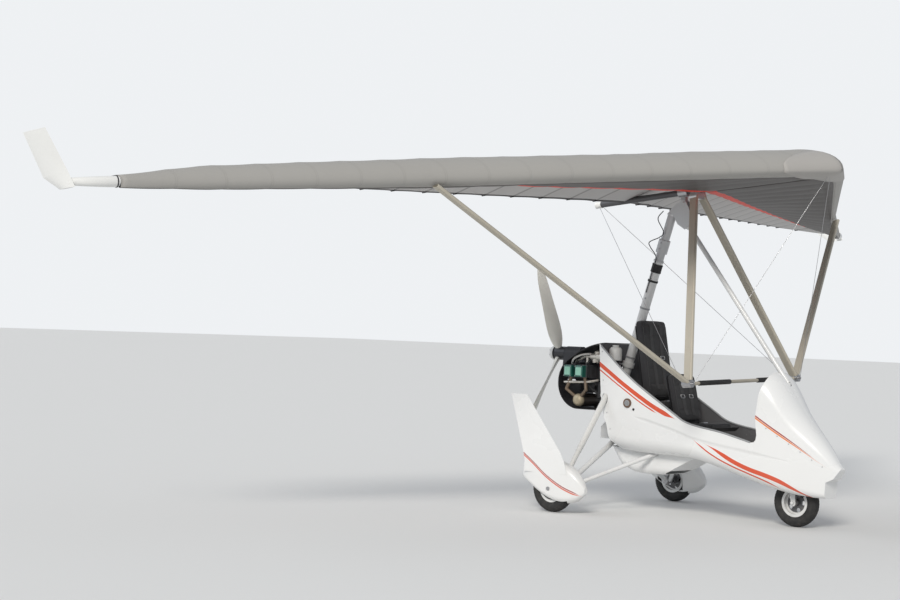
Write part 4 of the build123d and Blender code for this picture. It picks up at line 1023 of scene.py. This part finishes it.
def padTrim(piece, name, facts):
    faces = [f.vertices for f in piece.data.polygons]
    skin = BVHTree.FromPolygons([v.co for v in piece.data.vertices], faces)
    _, _, normal = padAxes(facts)
    piping, stitches = Shape(), Shape()
    loop = [(0.03, -0.44), (0.03, 0.44), (0.97, 0.44), (0.97, -0.44)]
    corners = []
    for (u, v), (nextU, nextV) in zip(loop, loop[1:] + loop[:1]):
        steps = (0.06, 0.2, 0.35, 0.5, 0.65, 0.8, 0.94)
        corners += [(u + (nextU - u) * t, v + (nextV - v) * t) for t in steps]
    edge = [skin.find_nearest(onPad(facts, u, v, 0.85))[0] for u, v in corners]
    piping.sweep(edge, stuffing["piping"], 8, closed=True, across=normal)
    for share in facts["seams"]:
        places = [onPad(facts, share, v / 20 * 0.90, 3.0) for v in range(-10, 11)]
        line = [spot for spot, _ in laid(skin, places, -normal, 0.0004)]
        stitches.sweep(line, stuffing["stitch"], 6, across=normal)
    piping.piece("piping" + name, "chassis", "seat_black", pipingBlack)
    stitches.piece("stitches" + name, "chassis", "seat_black", pipingBlack)
    return skin


belts = {
    "width": 0.046,
    "thick": 0.0022,
    "buckle": (0.048, 0.060, 0.014),
    "slideShare": 0.52,
    "slideHalf": (0.014, 0.028),  # up the belt and across it
    "slideRod": 0.003,
}


def webbingRun(band, facts, skin, places):
    _, _, normal = padAxes(facts)
    spots = laid(skin, [onPad(facts, u, v, 4.0) for u, v in places], -normal, 0.001)
    band.strap([p for p, _ in spots], [normal] * len(spots), belts["width"], belts["thick"])


def beltSlide(metal, facts, skin, hand):  # square ring that sets a shoulder belt's length
    _, along, normal = padAxes(facts)
    place = onPad(facts, belts["slideShare"], hand * 0.176, 4.0)
    slide = laid(skin, [place], -normal, 0.003)[0][0]
    up, wide = belts["slideHalf"]
    for lift in (-up, up):
        bar = [slide + along * lift + Vector((0, y, 0)) for y in (-wide, 0, wide)]
        metal.sweep(bar, belts["slideRod"], 8, across=normal)
    for y in (-wide, wide):
        bar = [slide + along * t + Vector((0, y, 0)) for t in (-up, 0.0, up)]
        metal.sweep(bar, belts["slideRod"], 8, across=normal)


def seatBelts(cushion, cushionSkin, back, backSkin, name):
    band, metal = Shape(), Shape()
    _, along, normal = padAxes(cushion)
    for hand in (-1, 1):
        shoulder = [(0.97 - 0.85 * t / 24, hand * (0.20 - 0.05 * t / 24)) for t in range(25)]
        webbingRun(band, back, backSkin, shoulder)
        lap = [(0.30 + 0.16 * t / 12, hand * (0.46 - 0.40 * t / 12)) for t in range(13)]
        webbingRun(band, cushion, cushionSkin, lap)
        beltSlide(metal, back, backSkin, hand)
    long, wide, thick = belts["buckle"]
    centre = laid(cushionSkin, [onPad(cushion, 0.46, 0.0, 4.0)], -normal, 0.002)[0][0]
    corners = ((-1, -1), (-1, 1), (1, 1), (1, -1))
    box = [centre + along * a * long / 2 + Vector((0, b * wide / 2, 0)) for a, b in corners]
    metal.prism(box, normal * thick)
    band.piece("belts" + name, "chassis", "seat_black", webbing)
    metal.piece("buckles" + name, "chassis", "steel_fittings", finishes["steel_fittings"], bevel=0.001)


skins = {}
for node, facts in pads.items():
    piece, name = stuffed(node, facts)
    skins[node] = padTrim(piece, name, facts)
for seat in ("front", "rear"):
    cushion, back = seat + "_seat_cushion", seat + "_seat_back"
    seatBelts(pads[cushion], skins[cushion], pads[back], skins[back], seat.capitalize())
print("seats filled and trimmed")


# Cockpit: soft edging round the opening and dials
podSkin = skinOf("pod_tub", "nose_cowl")
coaming = (
    (-0.026, 1.440), (0.108, 1.328), (0.319, 1.165), (0.455, 1.075), (0.700, 0.930), (0.804, 0.868),
    (0.898, 0.815), (1.028, 0.781), (1.247, 0.747), (1.440, 0.700), (1.515, 0.680),
)
dials = {
    "places": (  # y, z and radius
        (-0.100, 1.080, 0.040), (0.0, 1.085, 0.040), (0.100, 1.080, 0.040),
        (-0.055, 0.990, 0.028), (0.055, 0.990, 0.028),
    ),
    "needles": (210, 320, 95, 150, 260),  # degrees
    "station": 1.610,
    "bezel": 0.005,
    "depth": 0.006,
    "ticks": 12,
    "markDepth": 0.0008,
}


def coamingEdge(side, name):
    line = curved([at(station, side, z) for station, z in coaming], 5)
    spots = laid(podSkin, [p - Vector((0, 0, 0.006)) for p in line], (0, -side, 0))
    path = [spot + Vector((0, -side * 0.003, 0.005)) for spot, _ in spots]
    edging = Shape().sweep(path, 0.0090, 12, flat=0.85, across=(0, 1, 0))
    edging.piece("edging" + name, "chassis", "panel_black", trimGrey)


def dialMark(marks, start, turn, outline):  # a thin bar on the dial, drawn along and across a direction
    out, across = Vector((0, math.cos(turn), math.sin(turn))), Vector((0, -math.sin(turn), math.cos(turn)))
    marks.prism([start + out * a + across * b for a, b in outline], Vector((-dials["markDepth"], 0, 0)))


def dialPieces():
    rings, faces, marks = Shape(), Shape(), Shape()
    aft, deep, lip = Vector((-1, 0, 0)), dials["depth"], dials["bezel"]
    turns = [2 * math.pi * k / 40 for k in range(40)]
    spokes = [Vector((0, math.cos(turn), math.sin(turn))) for turn in turns]
    for (y, z, radius), needle in zip(dials["places"], dials["needles"]):
        centre, inside = at(dials["station"], y, z), radius - lip
        profile = [(-0.001, radius), (deep, radius), (deep + 0.0015, radius - 0.0015)]
        profile += [(deep + 0.0015, inside + 0.001), (deep, inside), (-0.001, inside)]
        ring = [[centre + aft * a + spoke * r for spoke in spokes] for a, r in profile]
        rings.rings(ring, closed=True)
        faces.turned(centre, aft, [(-0.0005, inside), (0.002, inside), (0.0022, radius * 0.5)], 32)
        for k in range(dials["ticks"]):
            turn = math.radians(225 - 270 * k / (dials["ticks"] - 1))
            inner, outer, half = radius * 0.62, radius * 0.80, radius * (0.022 if k % 3 else 0.04)
            bar = ((inner, -half), (outer, -half), (outer, half), (inner, half))
            dialMark(marks, centre + aft * 0.0018, turn, bar)
        tail, tip, start = -radius * 0.2, radius * 0.68, centre + aft * 0.0024
        pointer = ((tail, 0.002), (tail, -0.002), (tip, -0.0005), (tip, 0.0005))
        dialMark(marks, start, math.radians(needle), pointer)
        marks.turned(start, aft, [(0, 0.004), (0.002, 0.004), (0.0025, 0.003)], 16)
    rings.piece("dialBezels", "chassis", "panel_black", finishes["panel_black"], angle=30)
    faces.piece("dialFaces", "chassis", "panel_black", blackRubber)
    marks.piece("dialMarks", "chassis", "panel_black", hoseWhite)


for side, name in ((1, "Left"), (-1, "Right")):
    coamingEdge(side, name)
dialPieces()
print("cockpit trimmed")


# Studs: heads, caps and tread blocks repeated along a line of places by one geometry tree
def studTree():
    tree = Growth("studs", Radius=0.004, Depth=0.003, Sides=12.0)
    finish = tree.tree.interface.new_socket("Finish", in_out="INPUT", socket_type="NodeSocketMaterial")
    tree.keys["Finish"] = finish.identifier
    spots = tree.node("GeometryNodeMeshToPoints", None, {"Mesh": tree.given("Geometry")})
    sizes = {"Vertices": tree.given("Sides"), "Radius": tree.given("Radius"), "Depth": tree.given("Depth")}
    head = tree.node("GeometryNodeMeshCylinder", None, sizes)
    facing = tree.node("GeometryNodeInputNamedAttribute", {"data_type": "FLOAT_VECTOR"}, {"Name": "facing"})
    turn = tree.node("FunctionNodeAlignRotationToVector", {"axis": "Z"}, {"Vector": facing})
    parts = {"Points": spots, "Instance": head, "Rotation": turn}
    placed = tree.node("GeometryNodeInstanceOnPoints", None, parts)
    tree.close(placed, tree.given("Finish"))
    return tree


studs = studTree()


def studded(name, places, body, slot, sizes, material=None):  # sizes: radius, depth and number of sides
    inputs = dict(zip(("Radius", "Depth", "Sides"), sizes))
    piece = studs.grow(name, lineMesh(name, places), Finish=material or finishes[slot], **inputs)
    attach(piece, body)


def mirrored(places):
    flip = Vector((1, -1, 1))
    return places + [(p * flip, n * flip) for p, n in places]


# Engine: plug leads, carburettor tops, hoses, oil tank, silver rail and nuts between the shells
runs = {  # centre lines on the port side: (points, radius)
    "coolantTop": (
        ((-0.733, 0.17, 1.236), (-0.75, 0.15, 1.268), (-0.80, 0.10, 1.290), (-0.84, 0.06, 1.283)), 0.009,
    ),
    "coolantLow": (
        ((-0.733, 0.17, 1.132), (-0.70, 0.18, 1.06), (-0.60, 0.16, 0.99), (-0.53, 0.13, 0.95)), 0.012,
    ),
    "fuel": (
        ((-0.620, 0.165, 1.276), (-0.58, 0.13, 1.25), (-0.56, 0.06, 1.30), (-0.60, 0.01, 1.345)), 0.0045,
    ),
    "breather": (
        (
            (-0.866, 0.215, 1.252), (-0.842, 0.225, 1.290), (-0.800, 0.222, 1.316),
            (-0.747, 0.21, 1.334), (-0.70, 0.18, 1.340),
        ), 0.010,
    ),
    "oil": (
        ((-0.700, 0.06, 1.10), (-0.69, 0.10, 1.03), (-0.63, 0.13, 1.00), (-0.58, 0.10, 1.04)), 0.009,
    ),
}
clamp = ((0, 0.0015), (0.001, 0.0022), (0.009, 0.0022), (0.010, 0.0015))  # along, and out from the hose
plugs = {
    "y": (0.200, 0.172),
    "cap": ((0, 0.009), (0.018, 0.010), (0.024, 0.007), (0.030, 0.005)),
    "coil": (-0.80, 0.045, 1.300),
    "wire": 0.0034,
}
carburettor = {
    "x": -0.620,
    "y": 0.165,
    "z": 1.318,
    "bowlR": 0.025,
    "topR": 0.029,
    "filterX": -0.548,
}
rail = {
    "points": ((-0.945, 0.213, 1.082), (-0.80, 0.222, 1.088), (-0.66, 0.205, 1.096), (-0.62, 0.150, 1.11)),
    "radius": 0.0115,
}
tank = {
    "outline": (
        (-0.625, -0.155), (-0.625, 0.155), (-0.600, 0.175), (-0.545, 0.175),
        (-0.525, 0.155), (-0.525, -0.155), (-0.545, -0.175), (-0.600, -0.175),
    ),
    "floor": 0.945,
    "levels": (0, 0.012, 0.138, 0.15),
    "neck": ((0, 0.024), (0.014, 0.024), (0.016, 0.030), (0.026, 0.030), (0.028, 0.024)),
    "bevel": 0.004,
}
ignition = {"outline": ((-0.83, -0.05), (-0.83, 0.05), (-0.76, 0.05), (-0.76, -0.05)), "z": (1.281, 1.316)}
sump = {
    "outline": ((-0.865, -0.085), (-0.865, 0.085), (-0.665, 0.085), (-0.665, -0.085)),
    "middle": 0.765,
    "levels": ((0.990, 0.86), (1.004, 1.0), (1.091, 1.0)),  # height and share of its size
}


def hoseRuns(hand, hoses, white, clamps):
    for run, (points, radius) in runs.items():
        path = [p * Vector((1, hand, 1)) for p in curved(points, 6)]
        hose = white if run == "breather" else hoses
        hose.sweep(path, radius, 12)
        ahead = (path[3] - path[1]).normalized()
        clamps.turned(path[2] - ahead * 0.005, ahead, [(a, radius + out) for a, out in clamp], 16)


def sparkLeads(hand, leads):
    coilX, coilY, coilZ = plugs["coil"]
    end = Vector((coilX, hand * coilY, coilZ))
    for x in cylinders["x"]:
        for y in plugs["y"]:
            base = Vector((x + 0.02, hand * y, cylinders["top"] - 0.004))
            leads.turned(base, (0.2, 0.1 * hand, 1), plugs["cap"], 14)
            route = [base + Vector((0.006, 0, 0.026)), base + Vector((0.025, -hand * 0.01, 0.058))]
            route += [end + Vector((0.05, hand * 0.05, 0.006)), end]
            leads.sweep(curved(route, 7), plugs["wire"], 8)


def carburettorSide(hand, alloy, hoses):
    y, z = hand * carburettor["y"], carburettor["z"]
    bowl, r, t = Vector((carburettor["x"], y, z)), carburettor["bowlR"], carburettor["topR"]
    lower = [(0.005, r), (0.040, r), (0.046, r - 0.004), (0.048, 0.007), (0.056, 0.006)]
    alloy.turned(bowl, (0, 0, -1), lower, 22)
    dome = [(0.010, t * 0.8), (0.030, t), (0.036, t), (0.038, t + 0.003), (0.044, t + 0.003)]
    alloy.turned(bowl, (0, 0, 1), dome + [(0.052, t * 0.8), (0.056, t * 0.3)], 24)
    pleats = [(0.006 + 0.0035 * k, 0.038 - 0.003 * (k % 2)) for k in range(12)]
    profile = [(0.004, 0.030), *pleats, (0.050, 0.034)]
    hoses.turned(Vector((carburettor["filterX"], y, z)), (1, 0, 0.02), profile, 28)


def tankShape():
    shape, rings = Shape(), []
    for dz in tank["levels"]:
        end = dz in (tank["levels"][0], tank["levels"][-1])  # the first and last rings are drawn in
        ring = [(x * 0.96 - 0.023, y * 0.94) if end else (x, y) for x, y in tank["outline"]]
        rings.append([Vector((x, y, tank["floor"] + dz)) for x, y in ring])
    shape.rings(rings)
    shape.turned((-0.575, 0.0, 1.094), (0, 0, 1), tank["neck"], 20)
    shape.rings([[Vector((x, y, z)) for x, y in ignition["outline"]] for z in ignition["z"]])
    middle, rings = sump["middle"], []
    for z, s in sump["levels"]:
        rings.append([Vector((x * s - middle * (s - 1), y * s, z)) for x, y in sump["outline"]])
    return shape.rings(rings)


def coverDetails():
    upright, out = Vector((0, 1, 0)), Vector((1, 0, 0))
    corners = ((-1, -1), (-1, 1), (1, 1), (1, -1))
    nuts, ribs = [], []
    for x in cylinders["x"]:
        face, z = cylinders["coverFace"] + 0.0005, cylinders["coverZ"]
        nuts += [(Vector((x + a * 0.034, face, z + b * 0.041)), upright) for a, b in corners]
        ribs += [(Vector((x, 0.302, 1.150 + 0.014 * k)), out) for k in range(6)]
    studded("coverNuts", mirrored(nuts), "chassis", "steel_fittings", (0.005, 0.007, 6.0))
    studded("coverRibs", mirrored(ribs), "chassis", "rocker_green", (0.0028, 0.052, 8.0))


def enginePieces():
    hoses, leads, alloy, silver, white, clamps = (Shape() for _ in range(6))
    for hand in (1, -1):
        hoseRuns(hand, hoses, white, clamps)
        sparkLeads(hand, leads)
        carburettorSide(hand, alloy, hoses)
        silver.sweep([(x, hand * y, z) for x, y, z in rail["points"]], rail["radius"], 14)
    engine = ("chassis", "engine_metal")
    hoses.piece("engineHoses", *engine, blackRubber)
    leads.piece("plugLeads", *engine, pipingBlack)
    alloy.piece("carburettors", *engine, brightAlloy)
    tankShape().piece("oilTank", "chassis", "engine_block", finishes["panel_black"], bevel=tank["bevel"])
    silver.piece("coolantRail", *engine, brightAlloy)
    white.piece("breatherHose", *engine, hoseWhite)
    clamps.piece("hoseClamps", *engine, finishes["steel_fittings"])
    coverDetails()


spinner = {
    "start": (-1.234, 0, 1.334),
    "cap": (
        (-0.024, 0.0630), (-0.022, 0.0650), (0.000, 0.0640), (0.012, 0.057), (0.020, 0.042), (0.024, 0.018),
    ),
    "ring": ((-0.034, 0.0620), (-0.033, 0.0665), (-0.026, 0.0665), (-0.025, 0.0620)),
    "boltX": -1.2535,
    "boltCircle": 0.044,
    "firstBolt": 25,  # degrees
}


def propellerPieces():
    aft, centreZ = Vector((-1, 0, 0)), spinner["start"][2]
    cap = Shape().turned(spinner["start"], aft, spinner["cap"], 36)
    cap.piece("spinnerCap", "propeller", "prop_cream", plasticWhite)
    ring = Shape().turned(spinner["start"], aft, spinner["ring"], 36)
    ring.piece("spinnerRing", "propeller", "hub_dark", blackRubber)
    bolts, reach = [], spinner["boltCircle"]
    for k in range(6):
        turn = math.radians(spinner["firstBolt"] + 60 * k)
        place = Vector((spinner["boltX"], math.cos(turn) * reach, centreZ + math.sin(turn) * reach))
        bolts.append((place, aft))
    studded("hubBolts", bolts, "propeller", "steel_fittings", (0.006, 0.010, 6.0))


# Mast: boot over the joint, straps, bolt heads, the looped cable and the header bottle
mast = {
    "foot": (-0.5975, 0.645),
    "lean": math.tan(math.radians(17.19)),
    "boot": (  # height, and profile along the mast
        (2.078, (
            (0, 0.0425), (0.001, 0.0465), (0.010, 0.0475), (0.012, 0.0460),
            (0.062, 0.0460), (0.064, 0.0475), (0.076, 0.0475), (0.078, 0.0425),
        )),
        (1.994, ((0, 0.0425), (0.001, 0.0462), (0.017, 0.0462), (0.018, 0.0425))),
    ),
    "straps": (1.755, 1.32),
    "strap": ((0, 0.0415), (0.001, 0.0450), (0.015, 0.0450), (0.016, 0.0415)),
    "bolts": (  # height, and distance from the axis
        (0.80, 0.0405), (1.05, 0.0405), (1.85, 0.0405), (2.02, 0.0405), (2.285, 0.0515), (2.335, 0.0515),
    ),
    "cable": (
        (-0.062, -0.046, 2.615), (-0.112, -0.052, 2.545), (-0.046, -0.056, 2.43), (-0.085, -0.056, 2.385),
        (-0.189, -0.056, 2.344), (-0.180, -0.056, 2.300), (-0.120, -0.050, 2.212), (-0.150, -0.047, 2.11),
        (-0.215, -0.047, 1.90),
    ),
    "cableRadius": 0.0042,
}
bottle = {
    "place": (-0.432, -0.165),
    "body": (1.290, (
        (0.0, 0.048), (0.006, 0.056), (0.100, 0.056), (0.118, 0.044), (0.122, 0.024), (0.128, 0.024),
    )),
    "lid": (1.416, ((0, 0.029), (0.010, 0.029), (0.012, 0.026))),
}


def onMast(z):
    x, foot = mast["foot"]
    return Vector((x + (z - foot) * mast["lean"], 0, z))


def mastPieces():
    boot, straps, header = Shape(), Shape(), Shape()
    up, across = (onMast(2.2) - onMast(1.2)).normalized(), Vector((0, 1, 0))
    for z, profile in mast["boot"]:
        boot.turned(onMast(z), up, profile, 32)
    for z in mast["straps"]:
        straps.turned(onMast(z), up, mast["strap"], 32)
    boot.piece("mastBoot", "chassis", "panel_black", blackRubber)
    straps.piece("mastStraps", "chassis", "frame_white", trimGrey)
    cable = Shape().sweep(curved(mast["cable"], 8), mast["cableRadius"], 8)
    cable.piece("mastCable", "chassis", "panel_black", pipingBlack)
    heads = [(onMast(z) + Vector((0, reach, 0)), across) for z, reach in mast["bolts"]]
    studded("mastBolts", mirrored(heads), "chassis", "steel_fittings", (0.008, 0.010, 6.0))
    for part, sides in (("body", 28), ("lid", 20)):
        z, profile = bottle[part]
        header.turned((*bottle["place"], z), (0, 0, 1), profile, sides)
    header.piece("headerBottle", "chassis", "frame_white", plasticWhite)


# Wing's small parts: batten caps, hand grips and winglet collars
grip = {
    "x": 0.461,
    "z": -1.663,
    "y": (0.22, 0.225, 0.45, 0.695, 0.70),
    "radii": [0.0178, 0.0208, 0.0208, 0.0208, 0.0178],
}
collar = {
    "near": (-1.3065, 5.150, -0.0411),
    "far": (-1.3130, 5.172, -0.0411),
    "profile": ((0, 0.0400), (0.001, 0.0428), (0.009, 0.0428), (0.010, 0.0395)),
}
battenShare = 0.994  # share of the chord where the caps sit


def wingTrim():
    caps, grips, collars = [], Shape(), Shape()
    for side in (1, -1):
        caps += [(skinPoint(side, y, battenShare, False), -wingAhead) for y in cloth["battens"][1:-1]]
        grips.sweep([onWing(grip["x"], side * y, grip["z"]) for y in grip["y"]], grip["radii"], 20)
        near, far = (onWing(x, side * y, z) for x, y, z in (collar["near"], collar["far"]))
        collars.turned(near, (far - near).normalized(), collar["profile"], 32)
    studded("battenCaps", caps, "wing", "sail_cloth", (0.007, 0.040, 10.0), blackRubber)
    grips.piece("barGrips", "wing", "keel_dark", blackRubber)
    collars.piece("wingletCollars", "wing", "winglet_white", finishes["panel_black"])


# Screws along the pod's seams, the filler's lock and the wheels' small parts
seamScrews = {
    "cowl": ((1.16, 0.801), (1.25, 0.743), (1.34, 0.685), (1.43, 0.626), (1.52, 0.567), (1.60, 0.517)),
    "rear": (
        (-0.300, 0.560), (-0.352, 0.700), (-0.395, 0.840), (-0.430, 0.980), (-0.450, 1.120), (-0.470, 1.370),
    ),
    "belly": ((-0.30, 0.520), (-0.10, 0.500), (0.10, 0.500)),
}
filler = {
    "rim": ((-0.169, -0.339, 0.935), (
        (0, 0.026), (0.004, 0.026), (0.006, 0.022), (0.006, 0.016), (0.003, 0.014),
    )),
    "key": ((-0.169, -0.340, 0.935), ((0, 0.008), (0.008, 0.008), (0.009, 0.006))),
    "drain": ((-0.104, -1.0, 0.883), ((-0.002, 0.011), (0.003, 0.011), (0.004, 0.008), (0.002, 0.006))),
}


def podTrim():
    screws, lock = [], Shape()
    for spots in seamScrews.values():
        screws += laid(podSkin, [Vector((x, 1.0, z)) for x, z in spots], (0, -1, 0), 0.0004)
    studded("podScrews", mirrored(screws), "chassis", "steel_fittings", (0.0048, 0.0022, 14.0))
    for part, sides in (("rim", 28), ("key", 16)):
        place, profile = filler[part]
        lock.turned(place, (0, -1, 0), profile, sides)
    lock.piece("fillerLock", "chassis", "filler_dark", trimGrey)
    place, profile = filler["drain"]
    spot, normal = laid(podSkin, [place], (0, 1, 0), 0.0)[0]
    Shape().turned(spot, normal, profile, 20).piece("fuelDrain", "chassis", "filler_dark", blackRubber)


wheels = {  # body: tyre's node, and its middle as (x, y)
    "nose_wheel": ("nose_tyre", (axles["noseX"], 0.0)),
    "main_wheel_left": ("main_tyre_left", (axles["mainX"], 0.922)),
    "main_wheel_right": ("main_tyre_right", (axles["mainX"], -0.922)),
}
tread = {"count": 46, "offsets": (-0.032, -0.016, 0.0, 0.016, 0.032), "block": (0.0062, 0.0016, 6.0)}
valve = {
    "turn": 0.6,
    "reach": 0.112,
    "out": 0.030,
    "profile": ((0, 0.0045), (0.020, 0.0040), (0.021, 0.0055), (0.032, 0.0055), (0.033, 0.004)),
}


def treadPlaces(skin, x, y):
    blocks = []
    for row, offset in enumerate(tread["offsets"]):
        for k in range(tread["count"]):
            turn = 2 * math.pi * (k + 0.5 * (row % 2)) / tread["count"]
            out = Vector((math.cos(turn), 0, math.sin(turn)))
            place = Vector((x, y + offset, axles["z"])) + out * 0.3
            blocks += laid(skin, [place], -out, -0.0002)
    return blocks


def wheelTrim():
    across, up = math.cos(valve["turn"]), math.sin(valve["turn"])
    for body, (node, (x, y)) in wheels.items():
        name = "".join(word.capitalize() for word in body.split("_"))
        studded("tread" + name, treadPlaces(skinOf(node), x, y), body, "tyre_rubber", tread["block"])
        side = -1 if y <= 0 else 1
        middle = Vector((x, y + side * valve["out"], axles["z"]))
        start = middle + Vector((across, 0, up)) * valve["reach"]
        stem = Shape().turned(start, (-across * 0.8, side * 0.7, -up * 0.8), valve["profile"], 12)
        stem.piece("valve" + name, body, "tyre_rubber", blackRubber)


enginePieces()
propellerPieces()
mastPieces()
print("engine, propeller and mast detailed")
wingTrim()
podTrim()
wheelTrim()
print("wing, pod and wheels trimmed")
